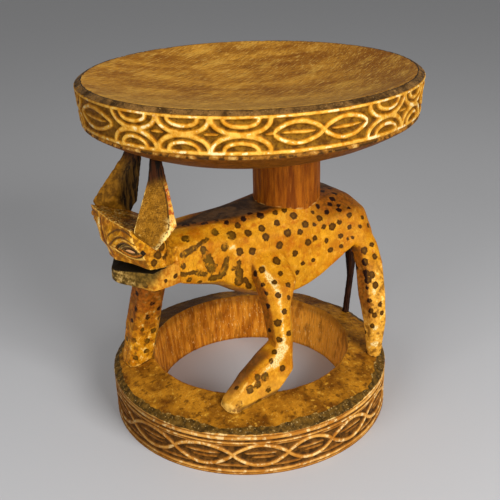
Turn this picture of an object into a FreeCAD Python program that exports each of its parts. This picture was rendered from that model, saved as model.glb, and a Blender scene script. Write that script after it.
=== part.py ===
import FreeCAD, Part
import math
import os

from FreeCAD import Vector

# Round stool carved as a leopard that stands on a ring and carries a dished seat.
# Millimetres, +Z up, the head towards -X, the leopard's left flank towards -Y.
# The origin lies on the floor under the centre of the seat.

# Base ring
BASE_DIAMETER = 344.0
BASE_EDGE_HEIGHT = 57.0
BASE_INNER_HEIGHT = 68.0
BASE_HOLE_DIAMETER = 248.0
BASE_HOLE_DRAFT = 5.5
BASE_SHIFT_X = -9.0
BASE_SHIFT_Y = 5.0
BASE_HOLE_SHIFT_X = 6.0
BASE_HOLE_SHIFT_Y = 6.0
BASE_BORDER_TOP = 9.0
BASE_BORDER_FOOT = 8.0

# Seat
SEAT_DIAMETER = 380.0
SEAT_BAND_HEIGHT = 45.0
SEAT_BAND_TAPER = 3.0
SEAT_RIM_WIDTH = 11.0
SEAT_RIM_DROP = 4.0
SEAT_DISH_DEPTH = 20.0
SEAT_BOWL_DEPTH = 37.0
SEAT_UNDER_DIAMETER = 116.0
SEAT_DISH_STEPS = 3
SEAT_BOWL_STEPS = 3
SEAT_BOWL_POWER = 2.3
SEAT_BORDER_TOP = 4.0
SEAT_BORDER_FOOT = 6.0
FRIEZE_DEPTH = 3.0

# Post between the back and the seat
POST_DIAMETER = 82.0
POST_X = 62.0
POST_HEIGHT = 80.0

# Trunk: heights counted from the top of the ring and from the back
CHEST_CLEARANCE = 79.0
CHEST_DEPTH = 106.0
CHEST_WIDTH = 110.0
LOIN_WIDTH = 132.0
LOIN_SIDE_DEPTH = 74.0
RUMP_WIDTH = 154.0
RUMP_SIDE_DEPTH = 46.0
RUMP_DROP = 2.0
RUMP_END_DROP = 21.0
RUMP_END_DEPTH = 27.0
RUMP_END_WIDTH = 92.0
BACK_FACET_WIDTH = 44.0
SADDLE_WIDTH = 72.0
TORSO_FRONT_X = -60.0
BREAST_X = -10.0
CHEST_X = 40.0
LOIN_X = 85.0
RUMP_X = 122.0
RUMP_END_X = 153.0
BELLY_SHARE = 0.6
TRUNK_STEPS = 3

# Neck
NECK_SIDE_DEPTH = 36.0
NECK_WIDTH = 87.0
NECK_ROOT_DEPTH = 73.0
NECK_ROOT_WIDTH = 94.0

# Head, counted from the back of the leopard
HEAD_BACK_X = -113.0
HEAD_WIDTH = 96.0
HEAD_BACK_WIDTH = 88.0
BROW_X = -171.0
BROW_RIDGE_X = -174.0
CHEEK_X = -150.0
NOSE_X = -176.0
NOSE_WIDTH = 14.0
BROW_RISE = 30.0
CROWN_RISE = 9.0
MOUTH_CORNER_X = -125.0
MOUTH_CORNER_DROP = 24.0
NOSE_DROP = 17.0
MOUTH_GAPE = 14.0
JAW_DEPTH = 15.0
JAW_ROOT_DEPTH = 27.0
JAW_SETBACK = 3.0

# Eyes and ears
EYE_LENGTH = 35.0
EYE_HEIGHT = 15.0
EYE_RELIEF = 4.0
EYE_SINK = 2.5
EYE_GROOVE = 2.0
EYE_SPREAD = 32.0
LEFT_EAR_FRONT_X = -168.0
LEFT_EAR_EDGE_X = -145.0
LEFT_EAR_TOP_X = -128.0
RIGHT_EAR_FRONT_X = -160.0
RIGHT_EAR_EDGE_X = -126.0
RIGHT_EAR_TOP_X = -107.0
EAR_TIP_X = -142.0
EAR_BACK_X = -119.0
EAR_TOP_WIDTH = 11.0
EAR_FRONT_RISE = 30.0
EAR_EDGE_RISE = 78.0
EAR_TIP_RISE = 5.0
EAR_BACK_RISE = 24.0
EAR_THICKNESS = 15.0
EAR_BEVEL = 10.5
EAR_STAND_OUT = 7.5
EAR_LEAN = 0.10
EAR_RIM = 8.0
EAR_HOLLOW = 5.5
EAR_HOLLOW_RADIUS = 42.0

# Legs and tail, places on the ring counted from its centre
LEFT_FORE_FOOT_X = -66.0
LEFT_FORE_FOOT_Y = -97.0
LEFT_KNEE_X = -15.5
LEFT_KNEE_Y = -91.0
LEFT_KNEE_RISE = 50.0
LEFT_HEEL_RISE = 22.0
LEFT_SHOULDER_X = -5.0
RIGHT_FORE_FOOT_X = -128.0
RIGHT_FORE_FOOT_Y = 57.0
RIGHT_SHOULDER_X = -100.0
HIND_FOOT_X = 117.0
HIND_FOOT_Y = 106.0
HIND_HOCK_RISE = 70.0
HIND_HIP_X = 128.0
HIND_FOOT_LENGTH = 16.0
HIND_FOOT_WIDTH = 13.0
FORELEG_WIDTH = 29.0
RIGHT_FORELEG_WIDTH = 34.0
HIND_LEG_WIDTH = 27.0
SHOULDER_LEAN = 4.0
SHOULDER_ROOT = 27.0
SHOULDER_RISE = 18.0
SHOULDER_BULGE = 12.0
SHOULDER_DROP = 16.0
UPPER_ARM_LEAN = 2.0
UPPER_ARM_BULGE = 8.0
RIGHT_SHOULDER_ROOT = 14.0
RIGHT_ARM_LEAN = 10.0
RIGHT_ARM_INSET = 2.0
RIGHT_WRIST_LEAN = 8.0
RIGHT_WRIST_INSET = 5.0
HIP_LEAN = 10.0
HIP_ROOT = 36.0
THIGH_INSET = 14.0
SHANK_BULGE = 2.0
HOCK_LEAN = 3.0
HOCK_INSET = 11.0
ANKLE_LEAN = 1.0
ANKLE_INSET = 2.0
TAIL_ROOT = 8.0
TAIL_STAND_OFF = 7.0
TAIL_START_DROP = 14.0
TAIL_FOOT_LEAN = 1.0
TAIL_FOOT_ROOT = 4.0
FORELEG_CORNER = 7.0
HIND_LEG_CORNER = 4.5
PAW_LENGTH = 62.0
TAIL_WIDTH = 14.0
TAIL_TIP_WIDTH = 8.0
TAIL_CORNER = 2.2
TAIL_FOOT_X = 163.0
TAIL_ARCH_X = 168.0

# Heights that follow from the sizes above
CHEST_Z = BASE_INNER_HEIGHT + CHEST_CLEARANCE
BACK_Z = CHEST_Z + CHEST_DEPTH
SEAT_UNDER_Z = BACK_Z + POST_HEIGHT
SEAT_BAND_Z = SEAT_UNDER_Z + SEAT_BOWL_DEPTH
SEAT_TOP_Z = SEAT_BAND_Z + SEAT_BAND_HEIGHT
OVERLAP = 12.0


def outline(points):
    """Closed flat wire through the given corners."""
    return Part.makePolygon(points + [points[0]])


def faceted(sections):
    """Adzed solid: flat three-cornered facets between sections of equally many corners."""
    faces = [Part.Face(outline(sections[0])), Part.Face(outline(sections[-1]))]
    for first, second in zip(sections, sections[1:]):
        for corner in range(len(first)):
            faces.append(Part.Face(outline([first[corner - 1], first[corner], second[corner]])))
            faces.append(Part.Face(outline([first[corner - 1], second[corner], second[corner - 1]])))
    solid = Part.Solid(Part.Shell(faces))
    if solid.Volume < 0:
        solid.reverse()
    return solid.removeSplitter()


def turned(profile):
    """Solid of revolution about the Z axis from a closed (radius, height) profile."""
    face = Part.Face(Part.Wire(profile))
    return face.revolve(Vector(0, 0, 0), Vector(0, 0, 1), 360)


def at(radius, height):
    return Vector(radius, 0, height)


def line(start, end):
    return Part.makeLine(start, end)


def chain(points):
    """Lines from each point to the next."""
    return [line(start, end) for start, end in zip(points, points[1:])]


def arc(start, middle, end):
    return Part.Arc(start, middle, end).toShape()


def trunk_section(x, top, facet, width, side_depth, depth, belly):
    """Eight-sided section of the trunk: flat back, sloping shoulder, flank edge, narrower belly."""
    half = [(facet / 2, top), (0.5 * facet / 2 + 0.5 * width / 2 + 6, top - 0.25 * side_depth),
            (width / 2, top - side_depth), (belly * width / 2, top - depth)]
    right = [Vector(x, y, z) for y, z in half]
    left = [Vector(x, -y, z) for y, z in reversed(half)]
    return right + left


def limb_section(x, y, z, length, width, corner):
    """Level section of a leg or the tail: a rectangle with its corners cut off."""
    quarter = [(length / 2, width / 2 - corner), (length / 2 - corner, width / 2)]
    half = quarter + [(-dx, dy) for dx, dy in reversed(quarter)]
    ring = half + [(-dx, -dy) for dx, dy in half]
    return [Vector(x + dx, y + dy, z) for dx, dy in ring]


def limb(stations, corner):
    return faceted([limb_section(*station, corner) for station in stations])


def smooth_trunk(stations, steps):
    """Trunk through the stations, with more sections in between, each size on a smooth curve along x."""
    places = [station[0] for station in stations]
    curves = []
    for sizes in zip(*stations):
        curve = Part.BSplineCurve()
        curve.interpolate(Points=[Vector(x, size, 0) for x, size in zip(places, sizes)], Parameters=places)
        curves.append(curve)
    stops = [start + (end - start) * step / steps
             for start, end in zip(places, places[1:]) for step in range(steps)]
    return faceted([trunk_section(*[curve.value(x).y for curve in curves]) for x in stops + [places[-1]]])


def mirrored(shape):
    return shape.mirror(Vector(0, 0, 0), Vector(0, 1, 0))


# Seat: a dished disc with an upright carved band and a bowl-shaped underside
radius = SEAT_DIAMETER / 2
dish_edge = radius - SEAT_RIM_WIDTH
rim_slope = 0.6 * SEAT_RIM_WIDTH
foot_radius = radius - SEAT_BAND_TAPER
ground = radius - FRIEZE_DEPTH
top_border = SEAT_TOP_Z - SEAT_RIM_DROP - SEAT_BORDER_TOP
foot_border = SEAT_BAND_Z + SEAT_BORDER_FOOT
under = SEAT_UNDER_DIAMETER / 2
dish = []
for step in range(SEAT_DISH_STEPS + 1):
    share = step / SEAT_DISH_STEPS
    dish.append(at(share * dish_edge, SEAT_TOP_Z - SEAT_DISH_DEPTH * (1 - share ** 2)))
bowl = []
for step in range(SEAT_BOWL_STEPS + 1):
    share = 1 - step / SEAT_BOWL_STEPS
    drop = SEAT_BOWL_DEPTH * (1 - share ** SEAT_BOWL_POWER)
    bowl.append(at(under + share * (foot_radius - under), SEAT_BAND_Z - drop))
seat = turned([
    *chain(dish),
    line(at(dish_edge, SEAT_TOP_Z), at(radius - rim_slope, SEAT_TOP_Z)),
    line(at(radius - rim_slope, SEAT_TOP_Z), at(radius, SEAT_TOP_Z - SEAT_RIM_DROP)),
    line(at(radius, SEAT_TOP_Z - SEAT_RIM_DROP), at(radius, top_border)),
    line(at(radius, top_border), at(ground, top_border - 1)),
    line(at(ground, top_border - 1), at(foot_radius - FRIEZE_DEPTH, foot_border + 1)),
    line(at(foot_radius - FRIEZE_DEPTH, foot_border + 1), at(foot_radius, foot_border)),
    line(at(foot_radius, foot_border), at(foot_radius, SEAT_BAND_Z)),
    *chain(bowl),
    line(at(under, SEAT_UNDER_Z), at(0, SEAT_UNDER_Z)),
    line(at(0, SEAT_UNDER_Z), dish[0]),
])
seat.translate(Vector(-BASE_SHIFT_X, -BASE_SHIFT_Y, 0))

# Base ring: sloping top, carved outer band, tapering hole that sits a little off centre
base_radius = BASE_DIAMETER / 2
base_ground = base_radius - FRIEZE_DEPTH
hole_radius = BASE_HOLE_DIAMETER / 2
slope = (BASE_INNER_HEIGHT - BASE_EDGE_HEIGHT) / (base_radius - hole_radius)
apex = BASE_EDGE_HEIGHT + slope * base_radius
base_disc = turned([
    line(at(0, apex), at(base_radius, BASE_EDGE_HEIGHT)),
    line(at(base_radius, BASE_EDGE_HEIGHT), at(base_radius, BASE_EDGE_HEIGHT - BASE_BORDER_TOP)),
    line(at(base_radius, BASE_EDGE_HEIGHT - BASE_BORDER_TOP),
         at(base_ground, BASE_EDGE_HEIGHT - BASE_BORDER_TOP - 1)),
    line(at(base_ground, BASE_EDGE_HEIGHT - BASE_BORDER_TOP - 1), at(base_ground, BASE_BORDER_FOOT + 1)),
    line(at(base_ground, BASE_BORDER_FOOT + 1), at(base_radius, BASE_BORDER_FOOT)),
    line(at(base_radius, BASE_BORDER_FOOT), at(base_radius, 0)),
    line(at(base_radius, 0), at(0, 0)),
    line(at(0, 0), at(0, apex)),
])
flare = BASE_HOLE_DRAFT / BASE_INNER_HEIGHT
hole_at = Vector(BASE_HOLE_SHIFT_X, BASE_HOLE_SHIFT_Y, -OVERLAP)
hole = Part.makeCone(hole_radius - BASE_HOLE_DRAFT - flare * OVERLAP, hole_radius + flare * apex,
                     BASE_INNER_HEIGHT + apex + OVERLAP, hole_at)
base_ring = base_disc.cut(hole)

# Trunk: one run of eight-sided sections, parted into neck and torso at the shoulders
neck_root = (TORSO_FRONT_X, BACK_Z, BACK_FACET_WIDTH, NECK_ROOT_WIDTH, 0.84 * NECK_ROOT_DEPTH,
             NECK_ROOT_DEPTH, BELLY_SHARE)
torso = smooth_trunk([
    neck_root,
    (BREAST_X, BACK_Z, 1.1 * BACK_FACET_WIDTH, 0.96 * CHEST_WIDTH, 0.84 * CHEST_DEPTH, 0.95 * CHEST_DEPTH,
     BELLY_SHARE),
    (CHEST_X, BACK_Z, SADDLE_WIDTH, CHEST_WIDTH, 0.93 * CHEST_DEPTH, CHEST_DEPTH, BELLY_SHARE),
    (LOIN_X, BACK_Z, SADDLE_WIDTH, LOIN_WIDTH, LOIN_SIDE_DEPTH, LOIN_SIDE_DEPTH + 8, BELLY_SHARE),
    (RUMP_X, BACK_Z - RUMP_DROP, 0.75 * SADDLE_WIDTH, RUMP_WIDTH, RUMP_SIDE_DEPTH, RUMP_SIDE_DEPTH + 7,
     BELLY_SHARE),
    (0.4 * RUMP_X + 0.6 * RUMP_END_X, BACK_Z - 0.42 * RUMP_END_DROP, BACK_FACET_WIDTH, 0.92 * RUMP_WIDTH,
     0.86 * RUMP_SIDE_DEPTH, 0.86 * RUMP_SIDE_DEPTH + 6, BELLY_SHARE),
    (RUMP_END_X, BACK_Z - RUMP_END_DROP, 0.6 * BACK_FACET_WIDTH, RUMP_END_WIDTH, 0.8 * RUMP_END_DEPTH,
     RUMP_END_DEPTH, BELLY_SHARE),
], TRUNK_STEPS)
neck_depth = MOUTH_CORNER_DROP + JAW_ROOT_DEPTH
neck = faceted([
    trunk_section(HEAD_BACK_X, BACK_Z, 0.85 * BACK_FACET_WIDTH, NECK_WIDTH, NECK_SIDE_DEPTH, neck_depth,
                  1 - 2 * JAW_SETBACK / NECK_WIDTH),
    trunk_section(*neck_root),
])

# Head: brow straight across, nose wedge below it, parted by the mouth
cheek = HEAD_WIDTH / 2
nape = HEAD_BACK_WIDTH / 2
brow_z = BACK_Z + BROW_RISE
corner_z = BACK_Z - MOUTH_CORNER_DROP
nose_z = BACK_Z - NOSE_DROP
brow_plan = [(BROW_RIDGE_X, NOSE_WIDTH / 2), (BROW_X, cheek), (HEAD_BACK_X, nape)]
mouth_plan = [(NOSE_X, NOSE_WIDTH / 2), (CHEEK_X, cheek), (HEAD_BACK_X, nape)]


def plan_wire(half, z, setback=0):
    """Level outline of the head from the corners of its right half."""
    right = [Vector(x + setback, y - setback, z) for x, y in half[:-1]]
    right.append(Vector(half[-1][0], half[-1][1] - setback, z))
    return outline(right + [Vector(v.x, -v.y, z) for v in reversed(right)])


def side_cut(points):
    """Slab across the head with the given side view."""
    face = Part.Face(outline([Vector(x, -HEAD_WIDTH, z) for x, z in points]))
    return face.extrude(Vector(0, 2 * HEAD_WIDTH, 0))


block = Part.makeLoft([plan_wire(mouth_plan, corner_z), plan_wire(brow_plan, brow_z)], True, True)
skull = block.common(side_cut([
    (NOSE_X - OVERLAP, nose_z + OVERLAP * (nose_z - corner_z) / (MOUTH_CORNER_X - NOSE_X)),
    (NOSE_X - OVERLAP, brow_z), (BROW_X, brow_z), (HEAD_BACK_X, BACK_Z + CROWN_RISE),
    (HEAD_BACK_X, corner_z), (MOUTH_CORNER_X, corner_z)]))
jaw_tip_z = nose_z - MOUTH_GAPE
jaw_block = Part.makeLoft([plan_wire(mouth_plan, BASE_INNER_HEIGHT, JAW_SETBACK),
                           plan_wire(mouth_plan, brow_z, JAW_SETBACK)], True, True)
lower_jaw = jaw_block.common(side_cut([
    (NOSE_X, jaw_tip_z), (MOUTH_CORNER_X, corner_z), (HEAD_BACK_X, corner_z),
    (HEAD_BACK_X, corner_z - JAW_ROOT_DEPTH), (NOSE_X + 2 * JAW_SETBACK, jaw_tip_z - JAW_DEPTH),
    (NOSE_X, jaw_tip_z - 0.7 * JAW_DEPTH)]))

# Eyes: almond bosses that stand in flat almond sockets on the two sloping planes of the face
share = (BACK_Z - corner_z) / (brow_z - corner_z)
inner_x = NOSE_X + share * (BROW_RIDGE_X - NOSE_X)
outer_x = CHEEK_X + share * (BROW_X - CHEEK_X)
reach = (EYE_SPREAD - NOSE_WIDTH / 2) / (cheek - NOSE_WIDTH / 2)
face_angle = math.degrees(math.atan2(cheek - NOSE_WIDTH / 2, outer_x - inner_x))
face_lean = math.degrees(math.atan2(reach * (CHEEK_X - BROW_X), brow_z - corner_z))
eye_x = inner_x + reach * (outer_x - inner_x)


def almond(length, height, floor, face):
    """Almond prism on the right side of the face, from a floor inside it to a height over it."""
    tip = Vector(length / 2, 0, 0)
    lid = Vector(0, 0, height / 2)
    wire = Part.Wire([arc(-tip, lid, tip), arc(tip, -lid, -tip)])
    prism = Part.Face(wire).extrude(Vector(0, face - floor, 0))
    prism.translate(Vector(0, floor, 0))
    prism.rotate(Vector(0, 0, 0), Vector(1, 0, 0), -face_lean)
    prism.rotate(Vector(0, 0, 0), Vector(0, 0, 1), face_angle)
    prism.translate(Vector(eye_x, EYE_SPREAD, BACK_Z))
    return prism


socket = almond(EYE_LENGTH + 2 * EYE_GROOVE, EYE_HEIGHT + 2 * EYE_GROOVE, -EYE_SINK, OVERLAP)
skull = skull.cut(socket).cut(mirrored(socket))
right_eye = almond(EYE_LENGTH, EYE_HEIGHT, -EYE_SINK, EYE_RELIEF - EYE_SINK)
left_eye = mirrored(right_eye)

# Ears: leaf-shaped plates with a sharp front edge, scooped on the outside, that run up into the seat
ear_top = SEAT_BAND_Z - 0.35 * SEAT_BOWL_DEPTH


def ear_point(x, z, depth):
    """Point of the left ear at a depth below its leaning outer face."""
    lean = EAR_LEAN * (z - BACK_Z - EAR_TIP_RISE)
    return Vector(x, -cheek - EAR_STAND_OUT + lean + depth, z)


def ear_leaf(front_x, edge_x, top_x, depth, bevel):
    """Leaf outline of an ear, its front edge set back by the bevel."""
    return [ear_point(x, z, depth) for x, z in (
        (front_x + bevel, BACK_Z + EAR_FRONT_RISE), (EAR_TIP_X, BACK_Z + EAR_TIP_RISE),
        (EAR_BACK_X, BACK_Z + EAR_BACK_RISE), (top_x, ear_top),
        (top_x - EAR_TOP_WIDTH + 0.6 * bevel, ear_top), (edge_x + bevel, BACK_Z + EAR_EDGE_RISE))]


def ear_plate(front_x, edge_x, top_x):
    """Left ear before it is fitted: a bevelled leaf with a scoop that narrows upwards."""
    leaf = faceted([ear_leaf(front_x, edge_x, top_x, 0, 0),
                    ear_leaf(front_x, edge_x, top_x, EAR_THICKNESS, EAR_BEVEL)])
    scoop_top = ear_point(top_x - 0.5 * EAR_TOP_WIDTH, ear_top, 0)
    middle_x = (front_x + EAR_BACK_X - EAR_RIM) / 2
    scoop_foot = ear_point(middle_x, BACK_Z + EAR_TIP_RISE, EAR_HOLLOW - EAR_HOLLOW_RADIUS)
    axis = scoop_foot - scoop_top
    scoop = Part.makeCone(0, 1.2 * EAR_HOLLOW_RADIUS, 1.2 * axis.Length, scoop_top, axis)
    return leaf.cut(scoop)


left_ear = ear_plate(LEFT_EAR_FRONT_X, LEFT_EAR_EDGE_X, LEFT_EAR_TOP_X)
left_ear = left_ear.cut(skull).cut(seat).cut(neck)
right_ear = mirrored(ear_plate(RIGHT_EAR_FRONT_X, RIGHT_EAR_EDGE_X, RIGHT_EAR_TOP_X))
right_ear = right_ear.cut(skull).cut(seat).cut(neck)

# Legs: cut-cornered limbs that run from inside the trunk down into the ring and are cut by both; the heel
# of the left forefoot reaches over the hole and ends there level with its lip
foot_z = BASE_EDGE_HEIGHT - OVERLAP
paw_z = BASE_INNER_HEIGHT
shoulder_z = BACK_Z - CHEST_DEPTH / 2
knee_z = BASE_INNER_HEIGHT + LEFT_KNEE_RISE
flank_y = CHEST_WIDTH / 2
left_foreleg = limb([
    (LEFT_SHOULDER_X + SHOULDER_LEAN, -flank_y + SHOULDER_ROOT, shoulder_z + SHOULDER_RISE,
     1.7 * FORELEG_WIDTH, FORELEG_WIDTH),
    (LEFT_SHOULDER_X, -flank_y - SHOULDER_BULGE, shoulder_z - SHOULDER_DROP,
     1.55 * FORELEG_WIDTH, 1.2 * FORELEG_WIDTH),
    (LEFT_KNEE_X + UPPER_ARM_LEAN, (LEFT_KNEE_Y - flank_y) / 2 - UPPER_ARM_BULGE,
     (shoulder_z + knee_z) / 2, FORELEG_WIDTH, FORELEG_WIDTH),
    (LEFT_KNEE_X, LEFT_KNEE_Y, knee_z, 0.8 * FORELEG_WIDTH, FORELEG_WIDTH),
    (0.5 * (LEFT_KNEE_X + LEFT_FORE_FOOT_X), LEFT_FORE_FOOT_Y, paw_z + LEFT_HEEL_RISE,
     1.05 * PAW_LENGTH, FORELEG_WIDTH),
    (LEFT_FORE_FOOT_X, LEFT_FORE_FOOT_Y, paw_z, PAW_LENGTH, 0.78 * FORELEG_WIDTH),
    (LEFT_FORE_FOOT_X, LEFT_FORE_FOOT_Y, foot_z, PAW_LENGTH, 0.78 * FORELEG_WIDTH),
], FORELEG_CORNER)
right_foreleg = limb([
    (RIGHT_SHOULDER_X, NECK_WIDTH / 2 - RIGHT_SHOULDER_ROOT, BACK_Z - 0.5 * neck_depth,
     RIGHT_FORELEG_WIDTH, RIGHT_FORELEG_WIDTH),
    (RIGHT_SHOULDER_X - RIGHT_ARM_LEAN, NECK_WIDTH / 2 - RIGHT_ARM_INSET, BACK_Z - 1.5 * neck_depth,
     RIGHT_FORELEG_WIDTH, RIGHT_FORELEG_WIDTH),
    (RIGHT_FORE_FOOT_X + RIGHT_WRIST_LEAN, RIGHT_FORE_FOOT_Y - RIGHT_WRIST_INSET, paw_z + LEFT_KNEE_RISE,
     1.05 * RIGHT_FORELEG_WIDTH, RIGHT_FORELEG_WIDTH),
    (RIGHT_FORE_FOOT_X, RIGHT_FORE_FOOT_Y, paw_z, RIGHT_FORELEG_WIDTH, 0.95 * RIGHT_FORELEG_WIDTH),
    (RIGHT_FORE_FOOT_X, RIGHT_FORE_FOOT_Y, foot_z, RIGHT_FORELEG_WIDTH, 0.95 * RIGHT_FORELEG_WIDTH),
], FORELEG_CORNER)
hip_z = BACK_Z - RUMP_DROP - 0.5 * RUMP_SIDE_DEPTH
hip_y = RUMP_WIDTH / 2
hock_z = BASE_INNER_HEIGHT + HIND_HOCK_RISE
hind_leg = limb([
    (HIND_HIP_X - HIP_LEAN, -hip_y + HIP_ROOT, hip_z, HIND_LEG_WIDTH, HIND_LEG_WIDTH),
    (HIND_HIP_X, -hip_y + THIGH_INSET, hip_z - 0.6 * RUMP_SIDE_DEPTH,
     1.1 * HIND_LEG_WIDTH, 1.1 * HIND_LEG_WIDTH),
    (HIND_HIP_X, -hip_y - SHANK_BULGE, 0.4 * hip_z + 0.6 * hock_z, HIND_LEG_WIDTH, HIND_LEG_WIDTH),
    (HIND_FOOT_X + HOCK_LEAN, -HIND_FOOT_Y + HOCK_INSET, hock_z, HIND_LEG_WIDTH, HIND_LEG_WIDTH),
    (HIND_FOOT_X + ANKLE_LEAN, -HIND_FOOT_Y + ANKLE_INSET, 0.55 * hock_z + 0.45 * paw_z,
     0.85 * HIND_LEG_WIDTH, 0.85 * HIND_LEG_WIDTH),
    (HIND_FOOT_X, -HIND_FOOT_Y, paw_z, 1.15 * HIND_FOOT_LENGTH, 1.15 * HIND_FOOT_WIDTH),
    (HIND_FOOT_X, -HIND_FOOT_Y, BASE_EDGE_HEIGHT, HIND_FOOT_LENGTH, HIND_FOOT_WIDTH),
    (HIND_FOOT_X, -HIND_FOOT_Y, foot_z, HIND_FOOT_LENGTH, HIND_FOOT_WIDTH),
], HIND_LEG_CORNER)
tail_z = BACK_Z - RUMP_END_DROP - 0.5 * RUMP_END_DEPTH
tail = limb([
    (RUMP_END_X - TAIL_ROOT, 0, tail_z + TAIL_ROOT, 1.6 * TAIL_WIDTH, 1.5 * TAIL_WIDTH),
    (RUMP_END_X + TAIL_STAND_OFF, 0, tail_z - TAIL_START_DROP, 1.3 * TAIL_WIDTH, 1.3 * TAIL_WIDTH),
    (TAIL_ARCH_X, 0, 0.6 * tail_z + 0.4 * paw_z, TAIL_WIDTH, TAIL_WIDTH),
    (TAIL_ARCH_X, 0, 0.3 * tail_z + 0.7 * paw_z, TAIL_TIP_WIDTH, TAIL_TIP_WIDTH),
    (TAIL_FOOT_X - TAIL_FOOT_LEAN, 0, paw_z, TAIL_TIP_WIDTH, TAIL_TIP_WIDTH),
    (TAIL_FOOT_X - TAIL_FOOT_ROOT, 0, foot_z, 1.6 * TAIL_TIP_WIDTH, TAIL_TIP_WIDTH),
], TAIL_CORNER)
heel_room = Part.makeCylinder(hole_radius, BASE_INNER_HEIGHT + OVERLAP, hole_at)
left_foreleg = left_foreleg.cut(torso).cut(heel_room).cut(base_ring)
right_foreleg = right_foreleg.cut(neck).cut(torso).cut(skull).cut(lower_jaw).cut(base_ring)
left_hind_leg = hind_leg.cut(torso).cut(base_ring)
right_hind_leg = mirrored(hind_leg).cut(torso).cut(base_ring)
tail = tail.cut(torso).cut(base_ring)

# Post: round stem cut to the shape of the back below and of the seat above
post_foot = BACK_Z - OVERLAP
seat_post = Part.makeCylinder(POST_DIAMETER / 2, SEAT_BAND_Z - post_foot, Vector(POST_X, 0, post_foot))
seat_post = seat_post.cut(torso).cut(seat)

nodes = {
    "seat": seat,
    "seat_post": seat_post,
    "torso": torso,
    "neck": neck,
    "head": skull,
    "lower_jaw": lower_jaw,
    "left_eye": left_eye,
    "right_eye": right_eye,
    "left_ear": left_ear,
    "right_ear": right_ear,
    "left_foreleg": left_foreleg,
    "right_foreleg": right_foreleg,
    "left_hind_leg": left_hind_leg,
    "right_hind_leg": right_hind_leg,
    "tail": tail,
    "base_ring": base_ring,
}
os.makedirs("parts", exist_ok=True)
for name, shape in nodes.items():
    shape.translate(Vector(BASE_SHIFT_X, BASE_SHIFT_Y, 0))
    largest = max(shape.Solids, key=lambda solid: solid.Volume)
    largest.exportStep("parts/" + name + ".step")
    print(name, len(shape.Solids), shape.isValid(), round(largest.Volume), shape.BoundBox)
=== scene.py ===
import math

import bpy
import numpy as np
from mathutils import Matrix, Vector, noise
from mathutils.bvhtree import BVHTree


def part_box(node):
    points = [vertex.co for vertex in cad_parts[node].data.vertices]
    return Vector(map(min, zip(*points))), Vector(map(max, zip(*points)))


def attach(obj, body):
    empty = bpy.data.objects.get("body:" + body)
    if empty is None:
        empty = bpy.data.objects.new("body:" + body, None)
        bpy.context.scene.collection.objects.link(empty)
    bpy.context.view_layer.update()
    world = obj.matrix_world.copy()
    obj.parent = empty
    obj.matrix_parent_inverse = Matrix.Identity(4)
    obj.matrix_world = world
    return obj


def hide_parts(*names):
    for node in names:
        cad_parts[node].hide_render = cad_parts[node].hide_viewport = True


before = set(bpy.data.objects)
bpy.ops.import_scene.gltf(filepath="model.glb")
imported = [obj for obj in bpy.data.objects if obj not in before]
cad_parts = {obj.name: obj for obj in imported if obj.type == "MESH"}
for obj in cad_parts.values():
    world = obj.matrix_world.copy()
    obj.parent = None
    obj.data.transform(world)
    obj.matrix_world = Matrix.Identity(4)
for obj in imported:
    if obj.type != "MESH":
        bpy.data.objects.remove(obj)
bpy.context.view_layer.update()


# Base ring: the foot of the stool, a thick ring left from the log with an open middle.
# Its outer band is carved with two strands that cross and cross again, with bars in the eyes between
# them. The top is worn brown, the inner wall shows upright tool marks, the upper edge is chipped.
MM = 0.001


def lathe(name, profile, centre, steps):
    """Draws one vertex out along a (radius, height) profile and spins it round the upright axis."""
    bpy.ops.object.select_all(action="DESELECT")
    bpy.ops.mesh.primitive_plane_add(size=MM, location=(0, 0, 0))
    piece = bpy.context.object
    piece.name = name
    bpy.ops.object.mode_set(mode="EDIT")
    bpy.ops.mesh.merge(type="CENTER")
    here = Vector((centre[0] + profile[0][0], centre[1], profile[0][1]))
    bpy.ops.transform.translate(value=here)
    for radius, height in profile[1:]:
        there = Vector((centre[0] + radius, centre[1], height))
        bpy.ops.mesh.extrude_region_move(TRANSFORM_OT_translate={"value": there - here})
        here = there
    bpy.ops.mesh.select_all(action="SELECT")
    bpy.ops.mesh.spin(steps=steps, angle=2 * math.pi, center=(*centre, 0), axis=(0, 0, 1))
    bpy.ops.mesh.select_all(action="SELECT")
    bpy.ops.mesh.remove_doubles(threshold=0.01 * MM)
    bpy.ops.mesh.normals_make_consistent(inside=False)
    bpy.ops.mesh.faces_shade_smooth()
    bpy.ops.object.mode_set(mode="OBJECT")
    return piece


def stepped(start, end, count):
    """Points of a straight profile stretch, without its first one."""
    shares = np.linspace(0, 1, count + 1)[1:]
    return [(start[0] + s * (end[0] - start[0]), start[1] + s * (end[1] - start[1])) for s in shares]


def points_of(piece):
    flat = np.empty(3 * len(piece.data.vertices))
    piece.data.vertices.foreach_get("co", flat)
    return flat.reshape(-1, 3)


def normals_of(piece):
    flat = np.empty(3 * len(piece.data.vertices))
    piece.data.vertex_normals.foreach_get("vector", flat)
    return flat.reshape(-1, 3)


def put_points(piece, points):
    piece.data.vertices.foreach_set("co", points.ravel())
    piece.data.update()


def lumps(points, size, seed, stretch=(1, 1, 1)):
    """Smooth noise from about -1 to 1 with lumps of the given size, which may be drawn out."""
    places = points / (size * np.array(stretch)) + seed * np.array((7.1, 3.7, 5.3))
    return np.array([noise.noise(place) for place in places.tolist()])


def ramp(values, low, high):
    """0 below low, 1 above high and smooth between them."""
    share = np.clip((values - low) / (high - low), 0, 1)
    return share * share * (3 - 2 * share)


def tag(piece, name, values):
    """Keeps one number for each vertex, for the material to read."""
    layer = piece.data.attributes.new(name, "FLOAT", "POINT")
    layer.data.foreach_set("value", np.asarray(values, np.float32))


def ridge(distance, width):
    """Height of a rounded carved ridge: 1 on its crest, 0 at its foot."""
    return np.sqrt(np.clip(1 - (2 * distance / width) ** 2, 0, 1))


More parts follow.
